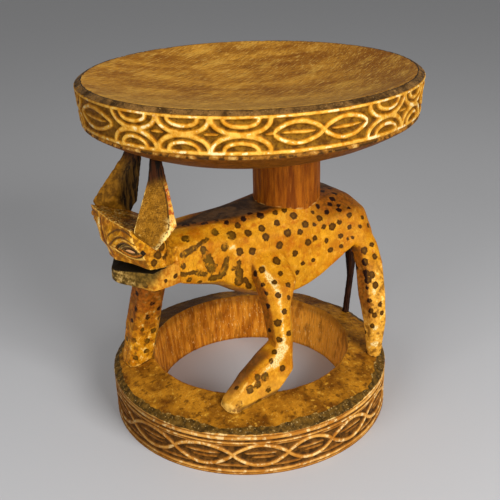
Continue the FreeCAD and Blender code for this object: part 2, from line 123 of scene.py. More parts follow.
def bar(along, up, half_length, width):
    """Ridge of a straight level bar with tapering ends."""
    thinning = np.clip(1 - (along / half_length) ** 2, 0, 1)
    return np.where(thinning > 0, ridge(np.abs(up), width * np.sqrt(thinning) + 0.01), 0)


class Finish:
    """A worn finish of paint on wood, put together node by node. Colours are sRGB, 0 to 255."""

    def __init__(self, name, roughness):
        self.material = bpy.data.materials.new(name)
        self.material.use_nodes = True
        self.tree = self.material.node_tree
        self.shader = self.tree.nodes["Principled BSDF"]
        self.shader.inputs["Roughness"].default_value = roughness
        self.shader.inputs["Specular IOR Level"].default_value = 0.06
        self.place = self.tree.nodes.new("ShaderNodeTexCoord").outputs["Object"]

    def feed(self, socket, value):
        if isinstance(value, bpy.types.NodeSocket):
            self.tree.links.new(value, socket)
        elif isinstance(value, tuple):
            socket.default_value = (*[self.linear(v / 255) for v in value], 1)
        else:
            socket.default_value = value

    def linear(self, value):
        return value / 12.92 if value <= 0.04045 else ((value + 0.055) / 1.055) ** 2.4

    def grain(self, size, stretch=(1, 1, 1), turn=0.0, detail=3.0):
        """Noise of 0 to 1 with grains of that size in metres, drawn out by the stretch and turned."""
        mapping = self.tree.nodes.new("ShaderNodeMapping")
        mapping.vector_type = "TEXTURE"
        mapping.inputs["Scale"].default_value = [size * s for s in stretch]
        mapping.inputs["Rotation"].default_value = (0, 0, turn)
        self.feed(mapping.inputs["Vector"], self.place)
        texture = self.tree.nodes.new("ShaderNodeTexNoise")
        texture.inputs["Scale"].default_value = 1.0
        texture.inputs["Detail"].default_value = detail
        texture.inputs["Roughness"].default_value = 0.6
        self.feed(texture.inputs["Vector"], mapping.outputs["Vector"])
        return texture.outputs["Fac"]

    def tagged(self, name):
        node = self.tree.nodes.new("ShaderNodeAttribute")
        node.attribute_name = name
        return node.outputs["Fac"]

    def math(self, operation, first, second):
        node = self.tree.nodes.new("ShaderNodeMath")
        node.operation = operation
        self.feed(node.inputs[0], first)
        self.feed(node.inputs[1], second)
        return node.outputs["Value"]

    def plus(self, first, second):
        return self.math("ADD", first, second)

    def minus(self, first, second):
        return self.math("SUBTRACT", first, second)

    def times(self, first, second):
        return self.math("MULTIPLY", first, second)

    def ramp(self, value, low, high, most=1.0):
        """0 up to low, the most from high on and smooth between them; low may lie above high."""
        node = self.tree.nodes.new("ShaderNodeMapRange")
        node.interpolation_type = "SMOOTHSTEP"
        node.inputs["To Max"].default_value = most
        self.feed(node.inputs["Value"], value)
        self.feed(node.inputs["From Min"], low)
        self.feed(node.inputs["From Max"], high)
        return node.outputs["Result"]

    def mix(self, share, under, over):
        node = self.tree.nodes.new("ShaderNodeMix")
        node.data_type = "RGBA"
        self.feed(node.inputs["Factor"], share)
        self.feed(node.inputs[6], under)
        self.feed(node.inputs[7], over)
        return node.outputs[2]

    def where(self, name, under, over):
        """One paint over another by the tag of that name."""
        return self.mix(self.tagged(name), under, over)

    def tones(self, value, low, high, dark, light):
        """Two tones of a paint that run into each other."""
        return self.mix(self.ramp(value, low, high), dark, light)

    def layers(self, colour, coats):
        """Lays paints over a colour, each up to a share and where its value runs from low to high."""
        for value, low, high, most, paint in coats:
            colour = self.mix(self.ramp(value, low, high, most), colour, paint)
        return colour

    def done(self, piece, colour, height, depth):
        """Links the colour and a bump of the given depth in metres, and puts the finish on the piece."""
        bump = self.tree.nodes.new("ShaderNodeBump")
        bump.inputs["Strength"].default_value = 1.0
        bump.inputs["Distance"].default_value = depth
        self.feed(bump.inputs["Height"], height)
        self.tree.links.new(bump.outputs["Normal"], self.shader.inputs["Normal"])
        self.feed(self.shader.inputs["Base Color"], colour)
        piece.data.materials.clear()
        piece.data.materials.append(self.material)


ring_low, ring_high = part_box("base_ring")
ring_centre = ((ring_low.x + ring_high.x) / 2, (ring_low.y + ring_high.y) / 2)
ring_radius = (ring_high.x - ring_low.x) / 2
ring_edge_z = 57 * MM
ring_lip_z = 68 * MM
hole_radius = 124 * MM
hole_foot_radius = 118.5 * MM
hole_shift = np.array((6 * MM, 6 * MM))
ring_slope = (ring_lip_z - ring_edge_z) / (ring_radius - hole_radius)
carving_depth = 3 * MM
edge_fall = 5.5 * MM
edge_reach = 14 * MM
ring_rows = [(ring_radius, 0)]
ring_rows += stepped(ring_rows[-1], (ring_radius, ring_edge_z - 0.6 * MM), 47)
ring_rows += stepped((ring_radius - 0.6 * MM, ring_edge_z), (ring_radius - edge_reach, ring_edge_z), 10)
ring_rows += stepped(ring_rows[-1], (hole_radius + 2 * MM, ring_lip_z), 9)
ring_rows += [(hole_radius + 0.5 * MM, ring_lip_z - 0.5 * MM)]
ring_rows += stepped((hole_radius, ring_lip_z - 2 * MM), (hole_foot_radius, 0), 13)
ring_rows += stepped(ring_rows[-1], ring_rows[0], 2)
ring = lathe("carved_ring", ring_rows, ring_centre, 1080)

points = points_of(ring)
flat = points[:, :2] - ring_centre
radius = np.hypot(*flat.T)
height = points[:, 2].copy()
wall_radius = hole_foot_radius + (hole_radius - hole_foot_radius) * height / ring_lip_z
on_wall = (np.abs(radius - wall_radius) < 2.4 * MM) & (height < ring_lip_z - 0.3 * MM)
on_band = (radius > ring_radius - 0.3 * MM) & (height > 0.1 * MM)
on_top = ~on_wall & ~on_band & (height > 1 * MM)
inward = np.clip((ring_radius - radius) / (ring_radius - hole_radius), 0, 1)
flat += inward[:, None] * hole_shift
hacked = ramp(inward, 0.8, 1.0) * ramp(height / MM, 30, 64)
flat *= (1 + hacked * 0.010 * lumps(points, 22 * MM, 24))[:, None]
top_z = ring_edge_z + ring_slope * (ring_radius - np.hypot(*flat.T))
points[:, 2] = np.where(on_top, top_z, height)
points[:, 2] = np.where(on_wall, height * top_z / ring_lip_z, points[:, 2])
angle = np.degrees(np.arctan2(flat[:, 1], flat[:, 0]))

# the strands cross at uneven steps, as cut by eye; the steps seen in front go on behind
crossings = np.array((-199, -177, -154, -130.5, -109.5, -91, -71, -50, -29, -8, 13, 35, 57, 79, 100, 121,
                      141, 161))
turn = (angle - crossings[0]) % 360 + crossings[0]
wobble = 1.2 * lumps(points, 30 * MM, 1)
eye = np.searchsorted(crossings, turn, side="right") - 1
eye_start = crossings[eye]
eye_end = np.append(crossings, crossings[-1])[eye + 1]
along = (turn - eye_start) / (eye_end - eye_start)
eye_length = np.radians(eye_end - eye_start) * ring_radius / MM
band_middle = 25.5
strand_rise = 13.0
up = height / MM - band_middle + wobble
strand = strand_rise * np.sin(math.pi * along) ** 0.8
lean = np.hypot(1, strand_rise * math.pi / eye_length * np.cos(math.pi * along))
from_middle = (along - 0.5) * eye_length
from_crossing = np.minimum(along, 1 - along) * eye_length
carved = [
    ridge(np.abs(np.abs(up) - strand) / lean, 6.0),
    0.8 * bar(from_middle, up - 2.6, 0.3 * eye_length, 4.4),
    0.7 * bar(from_middle - 3, up + 2.8, 0.22 * eye_length, 4.0),
    0.75 * bar(from_crossing, np.abs(up) - 14, 0.3 * eye_length, 4.2),
    ramp(height / MM, 50.5, 52.5),
    1 - ramp(height / MM, 0.8, 2.4),
]
for border_z, border_width in ((48.5, 6.2), (42.6, 3.0), (4.6, 5.0)):
    carved.append(ridge(np.abs(height / MM - border_z + 0.5 * wobble), border_width))
band_relief = np.maximum.reduce(carved)
cut = on_band * carving_depth * (1 - band_relief) * (0.9 + 0.1 * lumps(points, 12 * MM, 2))
cut += on_wall * 0.5 * MM * lumps(np.column_stack((flat, points[:, 2])), 5 * MM, 5, (1, 1, 12))
flat *= (1 - np.where(on_wall, -cut, cut) / np.hypot(*flat.T))[:, None]

# the upper edge is broken away to an uneven slant, widest in front of the left forefoot
radius = np.hypot(*flat.T)
out = np.clip(1 - (ring_radius - radius) / edge_reach, 0, 1)
rise = np.clip(1 - (top_z - points[:, 2]) / edge_fall, 0, 1)
corner = np.where((out > 0) & (rise > 0) & ~on_wall, out + rise, 0)
foot_angle = -103
foot_side = np.exp(-((turn - foot_angle) / 16) ** 2)
brink = 1.42 - 0.4 * lumps(points, 40 * MM, 3) - 0.16 * lumps(points, 7 * MM, 4) - 0.25 * foot_side
brink = np.clip(brink, 1.02, 1.85)
broken = corner > brink
shrink = np.where(broken, brink / np.maximum(corner, 1), 1)
slant_radius = ring_radius - edge_reach * (1 - out * shrink)
slant_z = ring_edge_z + ring_slope * (ring_radius - slant_radius) - edge_fall * (1 - rise * shrink)
flat *= np.where(broken, slant_radius / radius, 1)[:, None]
points[:, :2] = flat + ring_centre
points[:, 2] = np.where(broken, slant_z, points[:, 2])
sinking = 0.7 * lumps(points, 24 * MM, 6) + 0.3 * lumps(points, 7 * MM, 7)
points[:, 2] -= np.where(on_top & ~broken, (0.4 + sinking) * MM, 0)
put_points(ring, points)

# zones of wear, painted shadow and painted light; the right hand is that of the photograph, as a level
# direction
to_the_right = np.array((0.835, -0.55))
tag(ring, "ridge", np.where(on_band, band_relief, 0))
tag(ring, "band", on_band)
tag(ring, "wall", on_wall)
tag(ring, "broken", corner - brink)
tag(ring, "lip", on_wall * ramp(height, 50 * MM, 64 * MM))
# painted shadow on the far part of the top, behind the body
tag(ring, "shade", on_top * ramp(angle, 62, 85) * (1 - ramp(angle, 125, 148)))
# painted light on the right-hand side of the inner wall
tag(ring, "painted_light", on_wall * ramp(points[:, :2] @ to_the_right, 10 * MM, 90 * MM))
# painted shade towards the left-hand side of the band
tag(ring, "painted_shade_left", ramp(-points[:, :2] @ to_the_right, 60 * MM, 160 * MM))

finish = Finish("ring_paint_on_wood", 0.5)
broad = finish.grain(0.03)
fine = finish.grain(0.0022)
patch = finish.grain(0.007)
upright = finish.grain(0.0014, (1, 1, 22))
streaks = finish.grain(0.006, (1, 1, 9))
top = finish.layers((104, 58, 8), (
    (broad, 0.3, 0.7, 1.0, (190, 126, 28)),
    (patch, 0.5, 0.68, 0.8, (84, 48, 8)),
    (patch, 0.42, 0.28, 0.8, (214, 158, 52)),
    (fine, 0.55, 0.75, 0.7, (88, 52, 12)),
    (fine, 0.36, 0.26, 0.6, (226, 180, 96)),
))
# painted shadow on the far part of the top
shade = finish.times(finish.tagged("shade"), finish.ramp(broad, 0.25, 0.45, 0.8))
top = finish.mix(shade, top, (48, 27, 8))
wall = finish.layers((178, 100, 16), (
    (streaks, 0.35, 0.65, 1.0, (230, 148, 40)),
    # painted light on the right-hand side of the wall
    (finish.tagged("painted_light"), 0.0, 1.0, 0.7, (252, 172, 56)),
    (upright, 0.54, 0.7, 0.8, (126, 66, 10)),
    (upright, 0.36, 0.22, 0.8, (242, 196, 116)),
    (finish.grain(0.016, (1, 1, 2)), 0.5, 0.68, 0.6, (122, 62, 8)),
    (finish.grain(0.0018, (1, 1, 3)), 0.6, 0.7, 0.8, (246, 200, 120)),
    (finish.tagged("lip"), 0.0, 1.0, 0.5, (96, 50, 8)),
))
relief = finish.tagged("ridge")
ground = finish.layers((56, 34, 8), (
    (patch, 0.35, 0.65, 1.0, (106, 66, 20)),
    (fine, 0.55, 0.75, 0.6, (36, 22, 6)),
))
crest = finish.layers((176, 110, 32), (
    (broad, 0.35, 0.65, 1.0, (220, 160, 74)),
    (patch, 0.5, 0.64, 0.8, (242, 208, 142)),
))
# ochre ridges on a brown ground; the flanks of the ridges are painted darker and the crests lighter, as
# painted shade and highlight of the relief
flank = finish.tones(patch, 0.35, 0.65, (118, 68, 14), (156, 98, 30))
band = finish.layers(ground, (
    (relief, 0.2, 0.6, 1.0, flank),
    (relief, 0.6, 0.95, 1.0, crest),
    # painted shade at the left
    (finish.tagged("painted_shade_left"), 0.0, 1.0, 0.6, (72, 40, 8)),
))
colour = finish.where("wall", top, wall)
colour = finish.where("band", colour, band)
slant = finish.layers((60, 42, 12), (
    (patch, 0.35, 0.65, 1.0, (110, 78, 26)),
    (finish.grain(0.0022, (1, 1, 5)), 0.4, 0.3, 0.7, (196, 164, 104)),
))
broken = finish.tagged("broken")
colour = finish.mix(finish.ramp(broken, -0.02, 0.05), colour, slant)
near_brink = finish.minus(finish.ramp(broken, -0.1, 0.0), finish.ramp(broken, 0.03, 0.12))
worn = finish.times(near_brink, finish.ramp(patch, 0.54, 0.66, 0.7))
colour = finish.mix(worn, colour, (214, 174, 98))
finish.done(ring, colour, finish.plus(fine, upright), 0.0006)
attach(ring, "root")
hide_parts("base_ring")


# Leopard: body, neck and legs are one continuous carving, cut with an adze and smoothed.
# It is painted ochre with dark brown spots, which a brush set one by one, then varnished. Paint is worn
# to the pale wood on the ridges, and the top of the back is grey-brown, partly from handling and partly
# painted shade. Painted shade in red-brown and dark also lies on faces turned from the lamp, under the
# jaw and along the underside; painted light brightens the left hind leg and forefoot.

def picked(piece):
    """Makes a piece the active one and the only one selected."""
    bpy.ops.object.select_all(action="DESELECT")
    piece.select_set(True)
    bpy.context.view_layer.objects.active = piece


def roughed_out(name, nodes, overlap, voxel):
    """Closed block from copies of the named solids, each grown a little so that they run together."""
    copies = []
    for node in nodes:
        copy = bpy.data.objects.new(name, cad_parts[node].data.copy())
        bpy.context.collection.objects.link(copy)
        picked(copy)
        bpy.ops.object.mode_set(mode="EDIT")
        bpy.ops.mesh.select_all(action="SELECT")
        bpy.ops.mesh.remove_doubles(threshold=0.001 * MM)
        bpy.ops.transform.shrink_fatten(value=overlap)
        bpy.ops.object.mode_set(mode="OBJECT")
        copies.append(copy)
    for copy in copies:
        copy.select_set(True)
    if len(copies) > 1:
        bpy.ops.object.join()
    block = bpy.context.object
    block.name = name
    remesh = block.modifiers.new("one skin", "REMESH")
    remesh.mode = "VOXEL"
    remesh.voxel_size = voxel
    remesh.use_smooth_shade = True
    bpy.ops.object.modifier_apply(modifier=remesh.name)
    return block


def smoothed(piece, passes, weights=None):
    """Rubs the surface down, all over or by a weight for each vertex."""
    picked(piece)
    rub = piece.modifiers.new("rub down", "SMOOTH")
    rub.factor = 0.5
    rub.iterations = passes
    if weights is not None:
        group = piece.vertex_groups.new(name="rubbed")
        for index in np.flatnonzero(weights > 0.02):
            group.add([int(index)], float(weights[index]), "REPLACE")
        rub.vertex_group = group.name
    bpy.ops.object.modifier_apply(modifier=rub.name)
    if weights is not None:
        piece.vertex_groups.clear()


def uneven(piece, depth, size, seed):
    """Points of a piece, moved out and in by smooth noise as a blade leaves them."""
    points = points_of(piece)
    return points + normals_of(piece) * (depth * lumps(points, size, seed))[:, None]


def distance_to(node, points):
    """Distance of each point from the surface of a CAD solid."""
    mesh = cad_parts[node].data
    tree = BVHTree.FromPolygons([v.co for v in mesh.vertices], [p.vertices for p in mesh.polygons])
    return np.array([tree.find_nearest(point)[3] for point in points.tolist()])


def bulge(piece, reach):
    """How far each vertex stands out over its surroundings, in metres; hollows come out negative."""
    points = points_of(piece)
    ends = np.empty(2 * len(piece.data.edges), np.int64)
    piece.data.edges.foreach_get("vertices", ends)
    first, second = ends.reshape(-1, 2).T
    count = np.bincount(ends, minlength=len(points))[:, None]
    level = points.copy()
    for _ in range(reach):
        total = np.zeros_like(level)
        for axis in range(3):
            total[:, axis] += np.bincount(first, level[second, axis], len(points))
            total[:, axis] += np.bincount(second, level[first, axis], len(points))
        level = 0.5 * level + 0.5 * total / count
    return np.einsum("ij,ij->i", points - level, normals_of(piece))


def over_side(tree, along, height):
    """Point on the leopard's left side at a place along the body and a height, in millimetres."""
    return np.array(tree.ray_cast(Vector((along * MM, -0.3, height * MM)), Vector((0, 1, 0)))[0])


def brushed(skin, spots, strokes):
    """Brush marks on the left side, each with two ends and a radius; a spot has both ends in one place."""
    strokes = tuple(((x, z), (x, z), radius) for x, z, radius in spots) + tuple(strokes)
    return [(over_side(skin, *start), over_side(skin, *end), radius) for start, end, radius in strokes]


far_off = 40.0


def gap_to(points, marks):
    """Distance of each point from the edge of the nearest brush mark, in millimetres."""
    gap = np.full(len(points), far_off)
    for start, end, radius in marks:
        axis = end - start
        offset = points - start
        share = np.clip(offset @ axis / max(axis @ axis, 1e-12), 0, 1)
        gap = np.minimum(gap, np.linalg.norm(offset - share[:, None] * axis, axis=1) / MM - radius)
    return gap


most_tries = 9000
radius_share = (0.19, 0.27)


def scattered(points, taken, spacing, seed):
    """Spots at random vertices, each at least its spacing from all others; a spacing of 0 takes none."""
    dice = np.random.default_rng(seed)
    centres = list(taken)
    marks = []
    for index in dice.permutation(len(points))[:most_tries]:
        room = spacing[index] * MM
        if room > 0 and np.min(np.linalg.norm(np.array(centres) - points[index], axis=1)) > room:
            centres.append(points[index])
            marks.append((points[index], points[index], spacing[index] * dice.uniform(*radius_share)))
    return marks


limbs = ("left_foreleg", "right_foreleg", "left_hind_leg", "right_hind_leg")
body = roughed_out("leopard_body", ("torso", "neck") + limbs, 0.4 * MM, 1.5 * MM)
smoothed(body, 3)
points = points_of(body)
near = {node: distance_to(node, points) for node in ("torso", "neck") + limbs}
near_trunk = np.minimum(near["torso"], near["neck"])
rub = 1 - ramp(near_trunk, 2 * MM, 12 * MM)
for limb in limbs:
    rub = np.maximum(rub, 1 - ramp(np.maximum(near[limb], near_trunk), 3 * MM, 18 * MM))
smoothed(body, 45, rub)
points = uneven(body, 0.35 * MM, 16 * MM, 8)

# the heel of the left forefoot reaches over the hole and ends there level with the lip of the ring
sole_z = ring_lip_z - 1 * MM
sole_flatness = 0.94
over_hole = np.hypot(*(points[:, :2] - ring_centre - hole_shift).T) < hole_radius + 1.5 * MM
points[:, 2] += sole_flatness * over_hole * np.maximum(sole_z - points[:, 2], 0)

# the left forepaw spreads and ends in a blunt toe, and the front of the shank above it is full
limb_skin = 3 * MM
on_foreleg = near["left_foreleg"] < limb_skin
on_hind_leg = near["left_hind_leg"] < limb_skin
paw_middle = np.array((-75, -92)) * MM
paw_spread = 5.5 * MM
toe_length = 4 * MM
toe_rise = 4 * MM
shank_swell = 3 * MM
shank_out = np.array((-0.77, 0, 0.64))
from_ring = np.hypot(*(points[:, :2] - ring_centre).T)
over_ring = (points[:, 2] - ring_edge_z - ring_slope * (ring_radius - from_ring)) / MM
on_paw = on_foreleg * (1 - ramp(points[:, 2] / MM, 70, 96))
outwards = (paw_middle - points[:, :2]) / MM
toe = on_paw * ramp(outwards[:, 0], 8, 28)
points[:, 1] -= paw_spread * on_paw * ramp(outwards[:, 1], 0, 9)
points[:, 0] -= toe_length * toe
points[:, 2] += toe_rise * toe * ramp(over_ring, 0, 6)
normals = normals_of(body)
on_shank = on_foreleg * (1 - ramp(points[:, 2] / MM, 106, 118))
shank_front = on_shank * ramp(normals @ shank_out, 0.7, 0.9)
points += normals * (shank_swell * shank_front * (1 - toe))[:, None]
put_points(body, points)

# brush marks in millimetres: place along the body, height and radius on the left side; the nape's spots
# have a place across the body too, and a stroke has two ends
side_spots = (
    (32, 245, 4.6), (9, 241, 3.7), (-11, 239, 4.6), (43, 234, 4.5), (54, 232, 2.8), (-51, 240, 6.0),
    (-30, 238, 4.7), (18, 229, 4.8), (34, 227, 3.7), (-10, 230, 4.7), (6, 217, 4.6), (44, 212, 4.5),
    (53, 215, 3.7), (-118, 223, 3.2), (-112, 205, 3.4), (-99, 199, 3.0), (-78, 213, 2.2), (-57, 204, 2.6),
    (-64, 231, 5.0), (-46, 221, 4.8), (-30, 218, 4.6), (26, 202, 4.2), (-6, 204, 5.4), (36, 187, 2.9),
    (50, 188, 2.9), (-10, 194, 3.6), (28, 177, 3.3), (-36, 196, 3.7), (-29, 201, 4.2), (-36, 188, 3.0),
    (-23, 189, 3.4), (-8, 184, 3.3), (-36, 180, 2.8), (-25, 177, 3.9), (-12, 171, 2.7), (-37, 166, 3.3),
    (-22, 159, 3.6), (-32, 148, 4.8), (-21, 133, 3.4), (-33, 128, 3.6), (-41, 115, 3.5), (-82, 87, 4.8),
    (-72, 90, 4.5), (-61, 95, 5.4), (-59, 79, 3.8), (-70, 97, 3.8), (-98, 75, 4.1), (-73, 68, 4.3),
    (-36, 97, 3.8), (-49, 109, 3.0), (92, 241, 3.5), (96, 244, 2.9), (102, 234, 3.4), (76, 241, 3.5),
    (63, 237, 3.9), (66, 227, 3.4), (77, 225, 4.9), (87, 229, 3.2), (99, 221, 2.9), (86, 212, 3.2),
    (94, 208, 2.3), (100, 209, 2.3), (68, 209, 3.4), (113, 220, 2.6), (126, 217, 3.2), (120, 228, 3.0),
    (72, 197, 3.6), (85, 200, 2.8), (109, 193, 4.4), (122, 197, 3.3), (121, 184, 4.0), (106, 180, 4.6),
    (104, 167, 5.0), (103, 160, 4.6), (109, 166, 4.4), (110, 154, 4.6), (100, 151, 2.6), (98, 138, 3.0),
    (111, 131, 3.5), (98, 125, 3.3), (101, 120, 3.5), (112, 120, 3.2), (98, 106, 3.5), (86, 247, 3.2),
    (68, 248, 3.2), (106, 241, 2.3), (94, 250, 4.0), (58, 244, 2.4),
)
nape_spots = (
    (-92, -1, 253, 4.6), (-73, -10, 253, 4.4), (-82, -2, 253, 2.8), (-49, -18, 251, 3.4),
    (-38, -24, 246, 3.8), (-27, -20, 250, 3.6), (-6, -24, 251, 4.8), (12, -28, 251, 3.4),
    (24, -30, 252, 3.4), (-69, -25, 246, 4.8), (-106, -25, 248, 4.9), (-58, -12, 253, 2.6),
    (-16, -17, 254, 3.0),
)
side_strokes = (
    ((-116, 235), (-101, 239), 3.6), ((-101, 239), (-82, 243.5), 2.4), ((-91, 235), (-89, 227), 4.2),
    ((-88, 225), (-84, 212), 6.2), ((-121, 214), (-106, 213), 2.6), ((-104, 212), (-93, 207), 3.2),
    ((-63, 217), (-66, 210), 3.4), ((-67, 208), (-71, 202), 4.8), ((-86, 200), (-74, 199), 3.6),
    ((-49, 209), (-50, 203), 3.2), ((-50, 199), (-52, 187), 5.2), ((-44, 188), (-39, 177), 3.0),
)
skin = BVHTree.FromObject(body, bpy.context.evaluated_depsgraph_get())
marks = brushed(skin, side_spots, side_strokes)
for *place, radius in nape_spots:
    on_skin = np.array(skin.find_nearest(Vector(place) * MM)[0])
    marks.append((on_skin, on_skin, radius))
along = points[:, 0] / MM
height = points[:, 2] / MM
normals = normals_of(body)
on_leg = near_trunk > 9 * MM
spacing = np.where(on_leg, 15, 21 - 7 * ramp(along, 40, 85))
spacing[(normals[:, 1] < -0.2) & (points[:, 1] < ring_centre[1])] = 0
spacing[(normals[:, 2] < -0.55) & ~on_leg] = 0
spacing[(normals[:, 2] > 0.8) & (along < 25)] = 0
marks += scattered(points, [start for start, end, radius in marks], spacing, 11)

# pale wood, rubbed bare along the ridge of the left foreleg and in patches: place, height, radius
worn_path = (
    (-27, 202, 1.8), (-26, 195, 3.2), (-24, 188, 3.0), (-24, 176, 1.6), (-25, 167, 0.8), (-26, 153, 0.6),
    (-28, 139, 0.8), (-29, 128, 2.6), (-31, 119, 5.2), (-38, 111, 4.6), (-46, 105, 1.8), (-56, 102, 0.8),
    (-61, 100, 0.4),
)
worn_patches = ((-55, 228, 3.2), (-50, 220, 1.6), (106, 148, 2.8), (101, 104, 4.0), (102, 80, 4.6))
worn_strokes = [(start[:2], end[:2], start[2]) for start, end in zip(worn_path, worn_path[1:])]
worn_marks = brushed(skin, worn_patches, worn_strokes)

# where the coat is red-brown, dark grey-brown, lighter or scuffed; much of the red-brown and the dark is
# painted shade, and the lighter coat is painted light
across = points[:, 1] / MM
from_left = np.minimum(across, 2 * ring_centre[1] / MM - across)
nape_edge = np.interp(along, (-110, -90, -70, -48, -27, 10), (-4, -8, -14, -21, -24, -27))
past_edge = from_left - nape_edge
upper = ramp(normals[:, 2], 0.3, 0.6) * ~on_leg
# the red-brown top of the neck: partly stain, partly painted shade
nape = upper * ramp(past_edge, -2, 2) * (1 - ramp(along, 10, 50))
# the grey-brown top of the back: partly grime from handling, partly painted shade
behind = ramp(along, 5, 45)
saddle = ramp(normals[:, 2], 0.6, 0.9) * ramp(across, -12, 12) * (1 - ramp(across, 20, 40))
back = upper * ((1 - behind) * ramp(past_edge, 3, 11) + behind * saddle)
# painted shade in red-brown on the facets of the left foreleg that face away from the key lamp
front_facet = ramp(-normals[:, 0], 0.6, 0.85) * ramp(height, 100, 135)
shank_facet = shank_front * ramp(across, -100, -90) * (1 - toe)
front_facet = np.maximum(front_facet, shank_facet) * (near_trunk > 4 * MM)
# painted shade where the left forefoot meets the ring
foot_edge = (1 - ramp(over_ring, 3, 6)) * on_foreleg
# painted shade on the right foreleg under the jaw
painted_shade_leg = (near["right_foreleg"] < 2.5 * MM) * ramp(height, 90, 165)
# the red-brown rump: partly stain, partly painted shade on its top and rear faces
rump = np.maximum(0.85 * ramp(height, 226, 246), 0.5 * ramp(normals[:, 0], 0.5, 0.9))
rump *= ramp(along, 45, 80)
red = np.maximum.reduce((0.8 * nape, 0.9 * painted_shade_leg, 0.8 * front_facet, rump * ~on_leg))
# painted shade along the underside of the neck and body, the lowest band of each slice
slice_width = 4
slice_of = ((along - along.min()) / slice_width).astype(int)
lowest = np.full(slice_of.max() + 1, height.max())
np.minimum.at(lowest, slice_of[~on_leg], height[~on_leg])
belly_edge = ~on_leg * (1 - ramp(height - lowest[slice_of], 2, 9)) * (0.7 - 0.3 * ramp(along, -40, 0))
tag(body, "spot", gap_to(points, marks))
tag(body, "edge", np.maximum(bulge(body, 10) / MM, -0.3) * (1 - front_facet))
tag(body, "wear_and_highlight", gap_to(points, worn_marks))
# dark grey-brown: grime on the back, with painted shade there, at the forefoot, along the underside and on
# the shank
tag(body, "grime_and_shade", np.maximum.reduce((back, 0.75 * foot_edge, belly_edge, 0.55 * shank_facet)))
tag(body, "red", red)
tag(body, "faded", 1 - ramp(along, -62, -40))
# painted light: the lower left hind leg and left forefoot made lighter
painted_light_hind = 0.55 * on_hind_leg * (1 - ramp(height, 150, 190))
painted_light_foot = 0.4 * on_foreleg * (1 - ramp(height, 78, 100))
tag(body, "painted_light", np.maximum(painted_light_hind, painted_light_foot))
scuffed_leg = (near["right_foreleg"] < limb_skin) | on_hind_leg
tag(body, "scuffed", scuffed_leg * (1 - ramp(height, 150, 200)))


def coat_finish(name, mottle):
    """Ochre coat with ringed brown spots, after the tags that body and head keep for it."""
    finish = Finish(name, 0.46)
    fine = finish.grain(0.0016)
    patch = finish.grain(0.0045)
    stain = finish.grain(0.013)
    upright = finish.grain(0.0014, (1, 1, 9))
    edge = finish.tagged("edge")
    coat = finish.layers((186, 112, 8), (
        (finish.grain(0.035), 0.3, 0.7, 1.0, (214, 146, 22)),
        (stain, 0.5, 0.7, 0.8, (172, 90, 6)),
        (stain, 0.42, 0.3, 0.6, (228, 164, 44)),
        (upright, 0.54, 0.72, 0.6, (146, 78, 6)),
        (fine, 0.58, 0.72, 0.45, (236, 180, 66)),
        (fine, 0.4, 0.28, 0.45, (134, 74, 8)),
    ))
    # painted light: the coat made lighter where the tag asks for it
    coat = finish.where("painted_light", coat, (238, 176, 66))
    blotch = finish.grain(0.007)
    coat = finish.layers(coat, (
        (blotch, 0.36, 0.62, mottle, (112, 64, 10)),
        (blotch, 0.42, 0.28, 0.8 * mottle, (240, 186, 84)),
    ))
    scuffed = finish.tagged("scuffed")
    stained = finish.times(scuffed, finish.ramp(blotch, 0.48, 0.64, 0.7))
    coat = finish.mix(stained, coat, (98, 56, 10))
    flaked = finish.times(scuffed, finish.ramp(blotch, 0.42, 0.3))
    coat = finish.mix(flaked, coat, (244, 200, 108))
    # red-brown by the red tag: on the body partly stain and partly painted shade, on the head a painted
    # strip by the nose
    red = finish.tagged("red")
    coat = finish.mix(red, coat, finish.tones(patch, 0.35, 0.65, (86, 42, 8), (140, 72, 14)))
    hollow = finish.ramp(finish.plus(edge, patch), 0.1, -0.5)
    coat = finish.mix(hollow, coat, (84, 46, 8))
    # dark grey-brown by the tag: grime on the back and in grooves, and painted shade on the body
    grime_and_shade = finish.tones(stain, 0.35, 0.65, (50, 32, 18), (98, 68, 38))
    coat = finish.where("grime_and_shade", coat, grime_and_shade)
    rubbed = finish.ramp(finish.plus(edge, patch), 0.95, 1.3, 0.8)
    coat = finish.mix(rubbed, coat, (238, 184, 84))
    # pale wood where the body is rubbed bare; on the head the same tag draws a painted highlight by the
    # nose
    wear_and_highlight = finish.plus(finish.tagged("wear_and_highlight"), finish.times(finish.grain(0.0045), 10.0))
    coat = finish.mix(finish.ramp(wear_and_highlight, 8.6, 5.2, 0.7), coat, (224, 160, 52))
    pale = finish.tones(fine, 0.42, 0.6, (238, 210, 144), (200, 158, 84))
    coat = finish.mix(finish.ramp(wear_and_highlight, 5.6, 4.4, 0.9), coat, pale)
    wander = finish.plus(finish.times(patch, 5.0), finish.times(fine, 2.0))
    ragged = finish.plus(finish.tagged("spot"), wander)
    middle = finish.where("faded", (92, 56, 5), (100, 68, 10))
    middle = finish.mix(finish.ramp(fine, 0.5, 0.68, 0.5), middle, (136, 98, 22))
    ring = finish.where("faded", (72, 42, 3), (84, 52, 6))
    spot = finish.mix(finish.ramp(ragged, -0.4, 2.4), middle, ring)
    # spots darken under the painted shade of the red tag
    spot = finish.mix(finish.ramp(red, 0.2, 0.7), spot, (34, 16, 8))
    thin = finish.times(finish.tagged("faded"), finish.ramp(blotch, 0.5, 0.64, 0.75))
    kept = finish.minus(1.0, thin)
    painted = finish.times(finish.ramp(ragged, 4.2, 2.9), kept)
    coat = finish.mix(painted, coat, spot)
    finish.height = finish.plus(fine, upright)
    finish.colour = coat
    return finish


coat = coat_finish("leopard_coat", 0.25)
coat.done(body, coat.colour, coat.height, 0.0004)
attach(body, "root")
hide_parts("torso", "neck", *limbs)


# Head: a wedge with a straight brow, cut from the same log as the neck and painted like the body.
# Lids and a brow fold are carved round each eye, the forehead between the ears is scooped and scored
# with fine lines, a dark red strip runs down beside the nose with a painted highlight next to it, and the
# inside of the mouth is painted black as shade.

